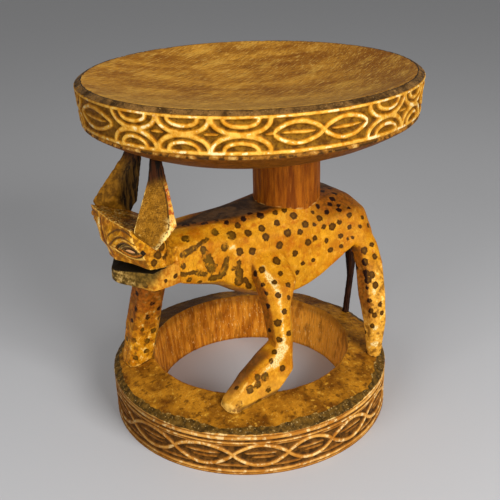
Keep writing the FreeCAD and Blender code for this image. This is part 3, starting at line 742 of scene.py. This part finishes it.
def eye_axes(node):
    """Centre of an eye and its axes: from the nose to the cheek, upwards, and out of the face."""
    corners = np.array([vertex.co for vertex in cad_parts[node].data.vertices])
    centre = (corners.min(0) + corners.max(0)) / 2
    outwards, upwards, out = np.linalg.svd(corners - centre, full_matrices=False)[2]
    outwards = outwards * np.sign(outwards[1]) * np.sign(centre[1] - ring_centre[1])
    upwards = upwards * np.sign(upwards[2])
    centre += (eye_shift[0] * outwards + eye_shift[1] * upwards) * MM
    return centre, outwards, upwards, -out * np.sign(out[0])


def almond_size(across, up, half_length, half_height):
    """Size of the almond round the eye that passes through each point; 1 is the high-arched eye itself."""
    up = np.where(up > 0, up / eye_arch, -up)
    return (up + np.sqrt(up ** 2 + (2 * half_height * across / half_length) ** 2)) / (2 * half_height)


eye_shift = (3.0, 1.2)
eye_half_length = 17.5
eye_half_height = 7.5
eye_arch = 1.4
neck_top = 253
let_in = 5
neck_half_widths = ((202, 40.5), (217, 43.5), (244, 37.1), (253, 18.7))


def let_into_neck(piece):
    """Narrows the back of a piece to the outline of the neck and lets it in there."""
    points = points_of(piece) / MM
    back = ramp(points[:, 0], -142, -123)
    widest = np.interp(points[:, 2], *np.transpose(neck_half_widths))
    widest += 0.4 - 2.6 * ramp(points[:, 0], -134, -124)
    side = points[:, 1] - ring_centre[1] / MM
    inside = np.clip(side, -widest, widest)
    points[:, 1] += back * (inside - side)
    points[:, 2] += ramp(points[:, 0], -131, -123) * (np.minimum(points[:, 2], neck_top) - points[:, 2])
    points[:, 0] += let_in * ramp(points[:, 0], -127, -122)
    put_points(piece, points * MM)


head = roughed_out("leopard_head", ("head",), 0.4 * MM, 0.9 * MM)
smoothed(head, 3)
let_into_neck(head)
smoothed(head, 4)
brow_edge = ramp(bulge(head, 12) / MM, 0.4, 1.0) * ramp(points_of(head)[:, 2] / MM, 258, 268)
smoothed(head, 14, brow_edge)
points = points_of(head)
normals = normals_of(head)
side = (points[:, 1] - ring_centre[1]) / MM
height = points[:, 2] / MM
front = ramp(-points[:, 0] / MM, 156, 176)
fuller = front * ramp(height, 246, 258) * (1 - ramp(height, 268, 282))
nose_forward = 2.8 * MM
nose_broader = 2.4 * MM
lip_back = 4.5 * MM
points[:, 0] -= nose_forward * fuller
points[:, 1] += nose_broader * fuller * np.tanh(side / 6)
points[:, 0] += lip_back * front * (1 - ramp(height, 232, 258))
lid_size = 1.42
groove_size = 1.72
fold_size = 2.05
upper_groove_size = 2.4
relief = np.zeros(len(points))
fold_dark = np.zeros(len(points))
lid_light = np.zeros(len(points))
for node in ("left_eye", "right_eye"):
    centre, outwards, upwards, out = eye_axes(node)
    offset = (points - centre) / MM
    size = almond_size(offset @ outwards, offset @ upwards, eye_half_length, eye_half_height)
    face = ramp(normals @ out, 0.6, 0.85) * (np.abs(offset @ out) < 9)
    face *= ramp(side * np.sign(centre[1] - ring_centre[1]), 2.5, 6)
    over = ramp(offset @ upwards, -2, 3)
    lid = ridge(np.abs(size - lid_size) * eye_half_height, 3.6)
    fold = over * ridge(np.abs(size - fold_size) * eye_half_height, 4.2)
    relief += face * (1.0 * lid + 1.1 * fold)
    groove = np.maximum(ridge(np.abs(size - groove_size) * eye_half_height, 1.8),
                        ridge(np.abs(size - upper_groove_size) * eye_half_height, 1.6))
    relief -= face * over * 0.7 * groove
    fold_dark = np.maximum(fold_dark, face * np.maximum(0.9 * over * groove, size < 1.22))
    lid_light = np.maximum(lid_light, face * lid * (1 - over))
brow = ramp(normals[:, 2], 0.6, 0.85) * (1 - ramp(points[:, 0] / MM, -148, -138))
lines = np.hypot(points[:, 0] / MM + 205, 1.4 * np.abs(side)) + 1.5 * lumps(points, 12 * MM, 26)
scored = brow * ridge(np.abs(lines % 4.2 - 2.1), 2.2) * ramp(lumps(points, 9 * MM, 21), -0.4, 0.4)
scooped = brow * np.exp(-(side / 18) ** 2) * ramp(points[:, 0] / MM, -176, -160)
relief -= 0.5 * scored + 1.2 * scooped
relief += 0.3 * lumps(points, 12 * MM, 9)
points += normals * (relief * MM)[:, None]
put_points(head, points)
skin = BVHTree.FromObject(head, bpy.context.evaluated_depsgraph_get())
cheek_spots = ((-144, 255, 4.8), (-149.5, 247, 4.8), (-155, 240, 4.4))
cheek_strokes = (((-142, 242), (-130, 254), 2.8),)
marks = brushed(skin, cheek_spots, cheek_strokes)
to_far_side = np.array((1, -1, 1))
mirror_shift = np.array((0, 2 * ring_centre[1], 0))
marks += [(start * to_far_side + mirror_shift, end * to_far_side + mirror_shift, radius)
          for start, end, radius in marks]
nose_strip = np.array(((0, 21, 277), (0, 14, 270), (0, 9, 262), (0, 5, 254), (0, 2, 245))) * MM
seen_from_front = points * np.array((0, 1, 1))
strip_gap = gap_to(seen_from_front, [(start, end, 2.4) for start, end in zip(nose_strip, nose_strip[1:])])
strip_gap[points[:, 0] > -170 * MM] = far_off
# painted highlight: a thin pale line beside the red strip, where the edge of the nose catches the light
highlight_line = nose_strip + np.array((0, 6.5, -1)) * MM
highlight_marks = [(start, end, 0.9) for start, end in zip(highlight_line, highlight_line[1:])]
tag(head, "spot", gap_to(points, marks))
tag(head, "edge", np.clip(1.5 * bulge(head, 14) / MM, -0.8, 2) + 0.7 * lid_light)
tag(head, "wear_and_highlight", gap_to(seen_from_front, highlight_marks))
tag(head, "grime_and_shade", np.clip(0.3 * scored + 0.9 * fold_dark, 0, 1))
tag(head, "red", 0.95 * (1 - ramp(strip_gap, -0.6, 0.8)))
tag(head, "faded", np.zeros(len(points)))
# painted shade: the faces that look down, inside the mouth
tag(head, "mouth", ramp(-normals[:, 2], 0.45, 0.75))
tag(head, "brow", brow)
coat = coat_finish("leopard_face", 0.8)
brow = coat.tagged("brow")
handled = coat.times(brow, coat.ramp(coat.grain(0.012), 0.46, 0.62, 0.7))
colour = coat.mix(handled, coat.colour, (84, 52, 10))
scratches = coat.ramp(coat.grain(0.0016, (9, 1, 1), math.radians(24)), 0.46, 0.38, 0.9)
colour = coat.mix(coat.times(brow, scratches), colour, (226, 188, 108))
# painted shade inside the mouth
colour = coat.where("mouth", colour, (10, 7, 5))
coat.done(head, colour, coat.height, 0.0004)
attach(head, "root")
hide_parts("head")


# Lower jaw: a flat wedge under the open mouth, left in one with the head.
# It is stained dark olive, worn to pale specks at the tip, with the ochre of the throat behind.
jaw = roughed_out("leopard_jaw", ("lower_jaw",), 0.3 * MM, 0.9 * MM)
smoothed(jaw, 3)
let_into_neck(jaw)
smoothed(jaw, 4)
points = uneven(jaw, 0.5 * MM, 9 * MM, 10)
put_points(jaw, points)
normals = normals_of(jaw)
jaw_low, jaw_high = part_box("lower_jaw")
length = (points[:, 0] - jaw_low.x) / (jaw_high.x - jaw_low.x)
throat_spots = np.array(((-141, -36, 213), (-152, -34, 212), (-128, -37, 214), (-163, -31, 211))) * MM
up_share = (points[:, 2] - jaw_low.z) / (jaw_high.z - jaw_low.z)
tag(jaw, "tip", 1 - ramp(length + 0.3 * up_share, 0.2, 0.45))
tag(jaw, "throat", ramp(length - 0.5 * up_share, 0.05, 0.4) * (1 - ramp(normals[:, 2], 0.2, 0.7)))
# painted shade: the top of the lower jaw, inside the mouth
tag(jaw, "inside", ramp(normals[:, 2], 0.5, 0.8))
tag(jaw, "spot", gap_to(points, [(place, place, 3.4) for place in throat_spots]))
finish = Finish("jaw_stain", 0.5)
fine = finish.grain(0.002)
patch = finish.grain(0.006)
colour = finish.tones(patch, 0.3, 0.7, (66, 48, 14), (124, 92, 34))
tip = finish.times(finish.tagged("tip"), finish.ramp(patch, 0.42, 0.6))
colour = finish.mix(tip, colour, finish.tones(fine, 0.35, 0.65, (126, 92, 38), (196, 160, 92)))
throat = finish.tones(patch, 0.3, 0.7, (164, 92, 12), (222, 158, 50))
ragged = finish.plus(finish.tagged("spot"), finish.times(patch, 3.0))
throat = finish.mix(finish.ramp(ragged, 1.9, 1.2), throat, (74, 44, 12))
colour = finish.where("throat", colour, throat)
# painted shade inside the mouth
colour = finish.where("inside", colour, (30, 22, 12))
finish.done(jaw, colour, fine, 0.0005)
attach(jaw, "root")
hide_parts("lower_jaw")


# Eyes: almond bosses carved in low relief with two lids and a bar across the middle.
# They are left standing in their sockets, painted olive and brown, the bar rubbed to pale wood.
lid_rings = ((1.10, -2.4), (1.08, 0.2), (1.0, 1.0), (0.92, 1.3), (0.84, 1.2), (0.74, 0.7), (0.66, 0.4),
             (0.60, 0.8), (0.52, 0.9), (0.42, 0.5), (0.32, 0.0), (0.25, 0.3), (0.18, 1.0), (0.06, 1.2))
bpy.ops.object.select_all(action="DESELECT")
bpy.ops.mesh.primitive_circle_add(vertices=128, radius=1, location=(0, 0, 0))
almond = bpy.context.object
points = points_of(almond)
points[:, 0] *= eye_half_length * lid_rings[0][0] * MM
points[:, 1] *= np.abs(points[:, 1]) * eye_half_height * lid_rings[0][0] * MM
points[points[:, 1] > 0, 1] *= eye_arch
points[:, 2] = lid_rings[0][1] * MM
put_points(almond, points)
bpy.ops.object.mode_set(mode="EDIT")
bpy.ops.mesh.select_all(action="SELECT")
for (size_before, rise_before), (size, rise) in zip(lid_rings, lid_rings[1:]):
    bpy.ops.mesh.extrude_region_move()
    share = size / size_before
    bpy.ops.transform.resize(value=(share ** 0.6, share, 1), center_override=(0, 0, 0))
    bpy.ops.transform.translate(value=(0, 0, (rise - rise_before) * MM))
bpy.ops.mesh.edge_face_add()
bpy.ops.object.mode_set(mode="OBJECT")
finish = Finish("eye_paint", 0.45)
fine = finish.grain(0.002)
lid = finish.tagged("lid")
upper = finish.tones(fine, 0.35, 0.65, (92, 68, 22), (140, 108, 46))
lower = finish.tones(fine, 0.35, 0.65, (126, 68, 12), (182, 110, 28))
colour = finish.mix(finish.ramp(finish.tagged("above"), -0.6, 0.6), lower, upper)
iris = finish.tones(fine, 0.35, 0.65, (78, 50, 14), (112, 78, 28))
cream = finish.ramp(lid, 0.7, 0.64, 0.85)
cream = finish.times(cream, finish.ramp(finish.tagged("above"), -1.5, 0.5))
colour = finish.mix(cream, colour, (176, 140, 76))
colour = finish.layers(colour, (
    (lid, 0.6, 0.56, 1.0, iris),
    (lid, 0.36, 0.3, 1.0, (40, 24, 8)),
    (lid, 0.22, 0.18, 1.0, (226, 164, 106)),
    (lid, 0.86, 0.94, 1.0, (30, 18, 6)),
))
for node in ("left_eye", "right_eye"):
    eye = bpy.data.objects.new("leopard_" + node, almond.data.copy())
    bpy.context.collection.objects.link(eye)
    points = points_of(eye)
    size = np.repeat([size for size, rise in lid_rings], len(points) // len(lid_rings))
    above = points[:, 1] / MM
    centre, outwards, upwards, out = eye_axes(node)
    floor_to_face = 1.0 * MM
    put_points(eye, centre + out * floor_to_face + points @ np.array((outwards, upwards, out)))
    tag(eye, "lid", size)
    tag(eye, "above", above)
    picked(eye)
    bpy.ops.object.mode_set(mode="EDIT")
    bpy.ops.mesh.select_all(action="SELECT")
    bpy.ops.mesh.normals_make_consistent(inside=False)
    bpy.ops.mesh.faces_shade_smooth()
    bpy.ops.object.mode_set(mode="OBJECT")
    finish.done(eye, colour, fine, 0.0003)
    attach(eye, "root")
    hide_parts(node)
bpy.data.objects.remove(almond)


# Ears: leaf-shaped plates that stand on the head and run up into the underside of the seat, which they
# help to carry. The outer face is scooped hollow and painted a matt brown-ochre, the rims are rubbed
# yellow and red, and the front edge is bright, partly rubbed and partly a painted highlight. The inner
# face behind a lit strip at the front is painted near-black, partly stain and partly shade, and the tops,
# where they run into the seat, are painted black as shade.
for node, seed in (("left_ear", 12), ("right_ear", 13)):
    ear = roughed_out("leopard_" + node, (node,), 0.3 * MM, 0.9 * MM)
    smoothed(ear, 3)
    hollow = bulge(ear, 40) / MM
    smoothed(ear, 25, 1 - ramp(hollow, -1.2, 0.2))
    points = uneven(ear, 0.3 * MM, 8 * MM, seed)
    points[:, 2] -= let_in * MM * (1 - ramp(distance_to("head", points), 1 * MM, 7 * MM))
    height = points[:, 2] / MM
    level_height = 4
    level = ((height - height.min()) / level_height).astype(int)
    front_x = np.full(level.max() + 1, 0.0)
    rear_x = np.full(level.max() + 1, -1.0)
    np.minimum.at(front_x, level, points[:, 0])
    np.maximum.at(rear_x, level, points[:, 0])
    middles = height.min() + level_height * (np.arange(len(front_x)) + 0.5)
    from_front = (points[:, 0] - np.interp(height, middles, front_x)) / MM
    from_rear = (np.interp(height, middles, rear_x) - points[:, 0]) / MM
    if node == "right_ear":
        spread = (1 - ramp(height, 276, 345)) * (1 - ramp(from_front, 2, 18))
        spread_to = np.array((-5.0, 3.3, 0)) * MM
        points += spread[:, None] * spread_to
    put_points(ear, points)
    normals = normals_of(ear)
    away = np.sign(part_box(node)[0].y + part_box(node)[1].y - 2 * ring_centre[1])
    outer = ramp(away * normals[:, 1], -0.1, 0.3)
    below_top = 1 - ramp(height, 318, 330)
    rolled = 5 + 5 * (1 - ramp(height, 266, 310))
    lit = 5 + 15 * (1 - ramp(height, 268, 322))
    tag(ear, "edge", bulge(ear, 16) / MM * outer * below_top * (from_front < 6))
    # painted shade: near-black towards the top, where the ear runs into the seat
    tag(ear, "black", ramp(height, 318, 334))
    # the inner face behind the lit front strip: near-black, partly stain and partly painted shade
    tag(ear, "inner", (1 - outer) * ramp(from_front - lit, -3, 5))
    tag(ear, "front", (1 - outer) * (1 - ramp(from_front - lit, -3, 5)))
    tag(ear, "rear", outer * below_top * (1 - ramp(from_rear - rolled, -1.2, 0.2)))
    tag(ear, "crease", outer * below_top * (1 - ramp(np.abs(from_rear - rolled - 0.6), 0.4, 1.2)))
    tag(ear, "pale", outer * (1 - ramp(height, 274, 292)) * (1 - ramp(from_rear, 7, 16)))
    finish = Finish("ear_paint", 0.6)
    fine = finish.grain(0.0014)
    patch = finish.grain(0.006)
    streaks = finish.grain(0.0026, (1, 1, 14))
    colour = finish.layers((110, 70, 8), (
        (patch, 0.3, 0.7, 1.0, (150, 100, 20)),
        (fine, 0.52, 0.66, 0.8, (70, 44, 8)),
        (fine, 0.42, 0.3, 0.7, (200, 150, 62)),
    ))
    rim = finish.layers((222, 166, 62), (
        (patch, 0.45, 0.6, 1.0, (168, 78, 22)),
        (fine, 0.42, 0.3, 0.8, (240, 214, 146)),
    ))
    colour = finish.where("rear", colour, rim)
    colour = finish.where("crease", colour, (58, 34, 10))
    flaked = finish.times(finish.tagged("pale"), finish.ramp(finish.grain(0.004), 0.42, 0.54))
    colour = finish.mix(flaked, colour, (240, 206, 124))
    # the lit strip at the front of the inner face
    front = finish.layers((104, 66, 10), (
        (patch, 0.35, 0.65, 1.0, (158, 106, 24)),
        (streaks, 0.55, 0.7, 0.6, (66, 40, 8)),
    ))
    colour = finish.where("front", colour, front)
    # near-black inner face: partly stain, partly painted shade
    inner = finish.layers((24, 15, 7), (
        (streaks, 0.42, 0.62, 1.0, (84, 58, 20)),
        (streaks, 0.34, 0.26, 0.8, (178, 152, 104)),
    ))
    colour = finish.where("inner", colour, inner)
    # bright front edge: partly rubbed paint, partly painted highlight
    edge = finish.plus(finish.tagged("edge"), finish.times(patch, 0.8))
    colour = finish.mix(finish.ramp(edge, 0.8, 1.15), colour, (242, 202, 112))
    # painted shade at the top
    grime_and_shade = finish.tones(streaks, 0.4, 0.6, (20, 12, 6), (64, 32, 12))
    colour = finish.where("black", colour, grime_and_shade)
    finish.done(ear, colour, fine, 0.0005)
    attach(ear, "root")
    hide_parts(node)


# Tail: a thin strip that hangs from the rump to the ring behind the hind legs.
# It is left standing from the same log, rounded with a knife and stained dark brown.
tail = roughed_out("leopard_tail", ("tail",), 0.2 * MM, 0.9 * MM)
smoothed(tail, 3)
points = uneven(tail, 0.3 * MM, 7 * MM, 14)
put_points(tail, points)
tag(tail, "edge", bulge(tail, 12) / MM)
finish = Finish("tail_stain", 0.5)
upright = finish.grain(0.0016, (1, 1, 10))
colour = finish.layers((24, 12, 8), (
    (upright, 0.35, 0.65, 1.0, (52, 28, 14)),
    (finish.tagged("edge"), 0.4, 1.0, 1.0, (92, 52, 22)),
))
finish.done(tail, colour, upright, 0.0005)
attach(tail, "root")
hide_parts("tail")


# Post: the stem of the log left round between the back and the seat, cut with upright gouge strokes.
# The wood is oiled red-brown, with the grain upright; at its foot the edge is splintered and pale.
post_low, post_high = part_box("seat_post")
post_centre = ((post_low.x + post_high.x) / 2, (post_low.y + post_high.y) / 2)
post_radius = (post_high.x - post_low.x) / 2
post_foot = 226 * MM
post_head = 352 * MM
post_rows = [(0, post_foot), (post_radius, post_foot)]
post_rows += stepped(post_rows[-1], (post_radius, post_head), 84)
post_rows += [(0, post_head)]
post = lathe("seat_stem", post_rows, post_centre, 220)
points = points_of(post)
flat = points[:, :2] - post_centre
radius = np.hypot(*flat.T)
outside = radius > 0.5 * post_radius
gouge = 0.5 * lumps(points, 5 * MM, 15, (1, 1, 16)) + 0.5 * lumps(points, 18 * MM, 16, (1, 1, 3))
near_back = 1 - ramp(points[:, 2] / MM, 250, 262)
over_back = distance_to("torso", points) / MM
splinter = (1 - ramp(over_back, 0.9, 2.1)) * ramp(lumps(points, 6 * MM, 17), -0.4, 0.4)
swell = -0.4 * MM + gouge * 0.6 * MM + near_back * 0.8 * MM - splinter * 0.5 * MM
points[:, :2] += flat * (outside * swell / np.maximum(radius, MM))[:, None]
put_points(post, points)
tag(post, "splinter", splinter * outside)
tag(post, "shadow", ramp(points[:, 2] / MM, 300, 345))
finish = Finish("stem_oiled_wood", 0.5)
upright = finish.grain(0.0013, (1, 1, 20))
streaks = finish.grain(0.006, (1, 1, 8))
fine = finish.grain(0.002)
colour = finish.layers((112, 52, 6), (
    (streaks, 0.3, 0.7, 1.0, (158, 86, 12)),
    (upright, 0.52, 0.7, 0.8, (84, 40, 6)),
    (upright, 0.38, 0.24, 0.7, (192, 120, 38)),
))
scraped = finish.plus(finish.tagged("splinter"), finish.times(fine, 0.5))
colour = finish.mix(finish.ramp(scraped, 0.5, 1.0, 0.7), colour, (204, 152, 80))
colour = finish.mix(finish.times(finish.tagged("shadow"), 0.6), colour, (66, 32, 8))
finish.done(post, colour, finish.plus(upright, fine), 0.0006)
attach(post, "root")
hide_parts("seat_post")


# Seat: a round dished disc with a carved band, the top of the log, hollowed with an adze and rubbed.
# The band shows half circles set tip to tip, and pairs of eyes whose outlines cross, in ochre ridges on
# a brown ground. The dish is bare worn wood, the rim is blackened, the bowl under it is oiled red-brown.
seat_low, seat_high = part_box("seat")
seat_radius = (seat_high.x - seat_low.x) / 2
seat_top = seat_high.z
rim_width = 11 * MM
rim_drop = 4 * MM
dish_depth = 20 * MM
band_taper = 3 * MM
band_foot = seat_top - 45 * MM
under_radius = 58 * MM
dish_edge = seat_radius - rim_width
seat_rows = [(0, seat_top - dish_depth)]
for share in (0.3, 0.5, 0.65, 0.78, 0.87, 0.93, 0.97, 1):
    seat_rows.append((share * dish_edge, seat_top - dish_depth * (1 - share ** 2.05)))
seat_rows += stepped(seat_rows[-1], (seat_radius - 0.6 * rim_width, seat_top), 3)
seat_rows += stepped(seat_rows[-1], (seat_radius, seat_top - rim_drop), 5)
seat_rows += stepped(seat_rows[-1], (seat_radius - band_taper, band_foot), 40)
foot_radius = seat_rows[-1][0]
for share in (0.985, 0.96, 0.92, 0.85, 0.75, 0.62, 0.48, 0.34, 0.2, 0.1, 0):
    drop = (band_foot - seat_low.z) * (1 - share ** 2.3)
    seat_rows.append((under_radius + share * (foot_radius - under_radius), band_foot - drop))
seat_rows.append((0, seat_low.z))
seat = lathe("carved_seat", seat_rows, (0, 0), 1120)

points = points_of(seat)
radius = np.hypot(points[:, 0], points[:, 1])
height = points[:, 2] / MM
on_band = (radius > foot_radius - 0.2 * MM) & (height < (seat_top - rim_drop) / MM + 0.1)
degree_length = math.radians(1) * (seat_radius - band_taper / 2) / MM
start_angle = -188.4
turn = (np.degrees(np.arctan2(points[:, 1], points[:, 0])) - start_angle) % 360 + start_angle
wobble = 0.9 * lumps(points, 26 * MM, 18) + 0.35 * lumps(points, 9 * MM, 25)
middle_z = 393.3
upper_edge = 408.5
lower_edge = 377.5
eye_rise = 10.3


def half_circle(across, rise, half_width, depth, width):
    """Ridge of half an oval that stands on a border, wider than it is deep."""
    size = np.hypot(across / half_width, rise / depth)
    slope = np.hypot(across / half_width ** 2, rise / depth ** 2) / np.maximum(size, 1e-6)
    return np.where(rise > -1, ridge(np.abs(size - 1) / np.maximum(slope, 1e-6), width), 0)


# middle and width of each pair of half circles, and the ends of each row of one or two eyes, in degrees
pairs = ((-159.5, 17.0), (-143, 16.4), (-126.4, 17.4), (-79.5, 17.2), (-63, 16), (-17, 16.5), (-0.5, 16.5),
         (16, 16.5), (62.8, 16.5), (79.3, 16.5), (126.5, 18), (144.5, 18), (162.5, 18))
eye_rows = ((-188.4, -168.4, 1), (-117.6, -88.2, 2), (-54.5, -25.5, 2), (24.5, 54.5, 2), (87.7, 117.4, 2))
carved = []
for middle, spread in pairs:
    across = (turn - middle) * degree_length + wobble
    half = spread / 2 * degree_length
    for edge, sign in ((upper_edge, -1), (lower_edge, 1)):
        rise = sign * (height - edge) + wobble
        carved.append(half_circle(across, rise, 0.95 * half, 15.0, 6.2))
        carved.append(half_circle(across, rise, 0.56 * half, 8.0, 5.4))
    carved.append(0.8 * bar(across - half, height - middle_z + wobble, 7, 3.6))
band_relief = np.maximum.reduce(carved)
for first, last, count in eye_rows:
    inside = (turn > first) & (turn < last)
    along = np.clip((turn - first) / (last - first), 0, 1) * count
    length = (last - first) / count * degree_length
    up = height - middle_z + wobble
    strand = eye_rise * np.abs(np.sin(math.pi * along)) ** 0.75
    lean = np.hypot(1, eye_rise * math.pi / length * np.cos(math.pi * along))
    strands = ridge(np.abs(np.abs(up) - strand) / lean, 5.8)
    centre_bar = bar((along % 1 - 0.5) * length, up, 0.34 * length, 4.6)
    band_relief = np.where(inside, np.maximum(strands, 0.85 * centre_bar), band_relief)
for border_z, border_width in ((409.6, 4.6), (375.6, 5.4)):
    band_relief = np.maximum(band_relief, ridge(np.abs(height - border_z + 0.4 * wobble), border_width))
band_relief = np.maximum(band_relief, 0.75 * (1 - ramp(height, 372.0, 373.4)))
seat_carving = 3.2
cut = on_band * seat_carving * (1 - band_relief) * (0.9 + 0.1 * lumps(points, 10 * MM, 19))
chipping = lumps(points, 6 * MM, 20) + 0.6 * lumps(points, 2.6 * MM, 22)
near_foot = (radius > foot_radius - 6 * MM) * (1 - ramp(height, 371.5, 374.5)) * ramp(height, 355, 368)
on_rim = ramp(radius / MM, 177.5, 179.5) * ramp(height, 408.5, 410.6)
cut += near_foot * 1.6 * ramp(chipping, 0.0, 0.6) + on_rim * 1.2 * ramp(chipping, 0.1, 0.7)
points[:, :2] *= (1 - cut * MM / np.maximum(radius, MM))[:, None]
sag = on_rim * (0.5 * ramp(chipping, 0.0, 0.6) + 0.3) + (height > 394) * (radius < dish_edge) * 0.3
points[:, 2] -= sag * MM * (0.6 + 0.4 * lumps(points, 20 * MM, 23))
put_points(seat, points)
under = (height < 369) & (radius < foot_radius)
right_hand = points[:, :2] @ to_the_right / MM
to_the_front = np.array((to_the_right[1], -to_the_right[0]))
frontwards = points[:, :2] @ to_the_front / MM
tag(seat, "ridge", np.where(on_band, band_relief, 0))
tag(seat, "band", on_band)
worn_over = 2.6
past_rim = 99
tag(seat, "rim", np.where(on_band | under, past_rim, (radius - dish_edge) / MM - worn_over))
tag(seat, "under", under)
tag(seat, "chip", near_foot)
# the dish lighter towards the front and darker to the right: painted light and painted shade
tag(seat, "pale", ramp(frontwards, -20, 150))
tag(seat, "painted_shade_right", ramp(right_hand, 40, 175))
# painted shade towards the left of the band
tag(seat, "painted_shade_left", ramp(-right_hand, 90, 175))

finish = Finish("seat_paint_on_wood", 0.48)
across_view = math.radians(-34)
along_grain = math.radians(24)
broad = finish.grain(0.036, (2.2, 1, 1), across_view)
streaks = finish.grain(0.0017, (9, 1, 1), along_grain)
cross_streaks = finish.grain(0.003, (7, 1, 1), across_view)
stains = finish.grain(0.022, (2.4, 1, 1), along_grain)
fine = finish.grain(0.0016)
patch = finish.grain(0.007)
dish = finish.layers((146, 86, 8), (
    (broad, 0.3, 0.7, 1.0, (214, 150, 46)),
    # painted light towards the front, then painted shade to the right
    (finish.tagged("pale"), 0.0, 1.0, 0.6, (208, 154, 62)),
    (finish.tagged("painted_shade_right"), 0.0, 1.0, 0.6, (132, 76, 2)),
    (stains, 0.46, 0.7, 0.4, (128, 72, 4)),
    (stains, 0.46, 0.3, 0.5, (226, 170, 66)),
    (cross_streaks, 0.53, 0.68, 0.4, (112, 64, 8)),
    (streaks, 0.52, 0.66, 0.6, (106, 60, 8)),
    (streaks, 0.46, 0.32, 0.6, (238, 188, 92)),
))
relief = finish.tagged("ridge")
ground = finish.layers((84, 50, 4), (
    (patch, 0.35, 0.65, 1.0, (136, 92, 18)),
    (fine, 0.55, 0.72, 0.6, (58, 36, 6)),
))
crest = finish.tones(patch, 0.35, 0.65, (204, 136, 30), (236, 182, 76))
worn = finish.ramp(finish.times(finish.grain(0.012), relief), 0.52, 0.62, 0.9)
crest = finish.mix(worn, crest, (250, 226, 166))
flank = finish.tones(patch, 0.35, 0.65, (142, 84, 6), (186, 120, 18))
# ochre ridges on a brown ground; the flanks of the ridges are painted darker and the crests lighter, as
# painted shade and highlight of the relief
band = finish.layers(ground, (
    (relief, 0.2, 0.6, 1.0, flank),
    (relief, 0.6, 0.95, 1.0, crest),
    # painted shade at the left
    (finish.tagged("painted_shade_left"), 0.0, 1.0, 0.55, (84, 48, 8)),
    # painted shade at the right
    (finish.tagged("painted_shade_right"), 0.0, 1.0, 0.25, (104, 62, 6)),
))
flaked = finish.grain(0.010)
chip = finish.layers((64, 40, 12), (
    (flaked, 0.44, 0.54, 1.0, (144, 92, 26)),
    (flaked, 0.56, 0.68, 0.7, (210, 168, 92)),
))
band = finish.where("chip", band, chip)
rim_place = finish.plus(finish.tagged("rim"), finish.times(patch, 1.6))
rim = finish.layers((62, 41, 16), (
    (finish.grain(0.018), 0.35, 0.65, 1.0, (132, 94, 46)),
    (fine, 0.54, 0.7, 0.8, (34, 24, 14)),
    (fine, 0.4, 0.28, 0.7, (190, 150, 90)),
    # painted shadow: a thin dark line along the inner lip of the rim
    (rim_place, 2.6, 1.8, 1.0, (22, 14, 8)),
))
bowl = finish.tones(patch, 0.3, 0.7, (92, 48, 6), (128, 72, 16))
colour = finish.mix(finish.ramp(rim_place, 0.7, 1.2), dish, rim)
colour = finish.where("band", colour, band)
colour = finish.where("under", colour, bowl)
finish.done(seat, colour, finish.plus(fine, streaks), 0.0004)
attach(seat, "root")
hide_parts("seat")


# Floor and light: a plain pale floor under soft studio lamps.
# The key lamp stands in front of the leopard's left side, a weaker one in front of its face.
bpy.ops.object.select_all(action="DESELECT")
bpy.ops.mesh.primitive_plane_add(size=30, location=(0, 0, 0))
floor = bpy.context.object
floor.name = "floor"
floor_paint = bpy.data.materials.new("pale_floor")
floor_paint.use_nodes = True
floor_paint.node_tree.nodes["Principled BSDF"].inputs["Base Color"].default_value = (0.55, 0.55, 0.56, 1)
floor_paint.node_tree.nodes["Principled BSDF"].inputs["Roughness"].default_value = 0.8
floor.data.materials.append(floor_paint)


def lamp(name, place, aim, size, power):
    light = bpy.data.lights.new(name, "AREA")
    light.size = size
    light.energy = power
    holder = bpy.data.objects.new(name, light)
    holder.location = place
    holder.rotation_euler = (Vector(aim) - Vector(place)).to_track_quat("-Z", "Y").to_euler()
    bpy.context.scene.collection.objects.link(holder)


lamp("key_lamp", (0.1, -1.8, 1.0), (0, 0, 0.2), 1.0, 40)
lamp("fill_lamp", (-1.8, -0.6, 1.0), (0, 0, 0.2), 1.2, 20)
world = bpy.data.worlds.new("studio")
world.use_nodes = True
world.node_tree.nodes["Background"].inputs["Color"].default_value = (1, 1, 1, 1)
world.node_tree.nodes["Background"].inputs["Strength"].default_value = 0.26
bpy.context.scene.world = world
bpy.context.scene.view_settings.view_transform = "Standard"


# Camera: in front of the leopard's left shoulder, above the height of the seat and looking down,
# as the photograph was taken, with its slight tilt. Its lens is worked out for a square frame of 500 by
# 500.
sight = Vector((0.50116, 0.76188, -0.41033))
tilt = -0.03215
level_right = sight.cross(Vector((0, 0, 1))).normalized()
level_up = level_right.cross(sight)
right = math.cos(tilt) * level_right + math.sin(tilt) * level_up
upward = math.cos(tilt) * level_up - math.sin(tilt) * level_right
camera = bpy.data.objects.new("camera", bpy.data.cameras.new("camera"))
picture_pixels = 500
focal_pixels = 782.9
camera.data.sensor_width = 36
camera.data.lens = camera.data.sensor_width * focal_pixels / picture_pixels
camera.matrix_world = Matrix((right, upward, -sight)).transposed().to_4x4()
camera.location = (-0.4796, -0.7197, 0.5859)
bpy.context.scene.collection.objects.link(camera)
bpy.context.scene.camera = camera
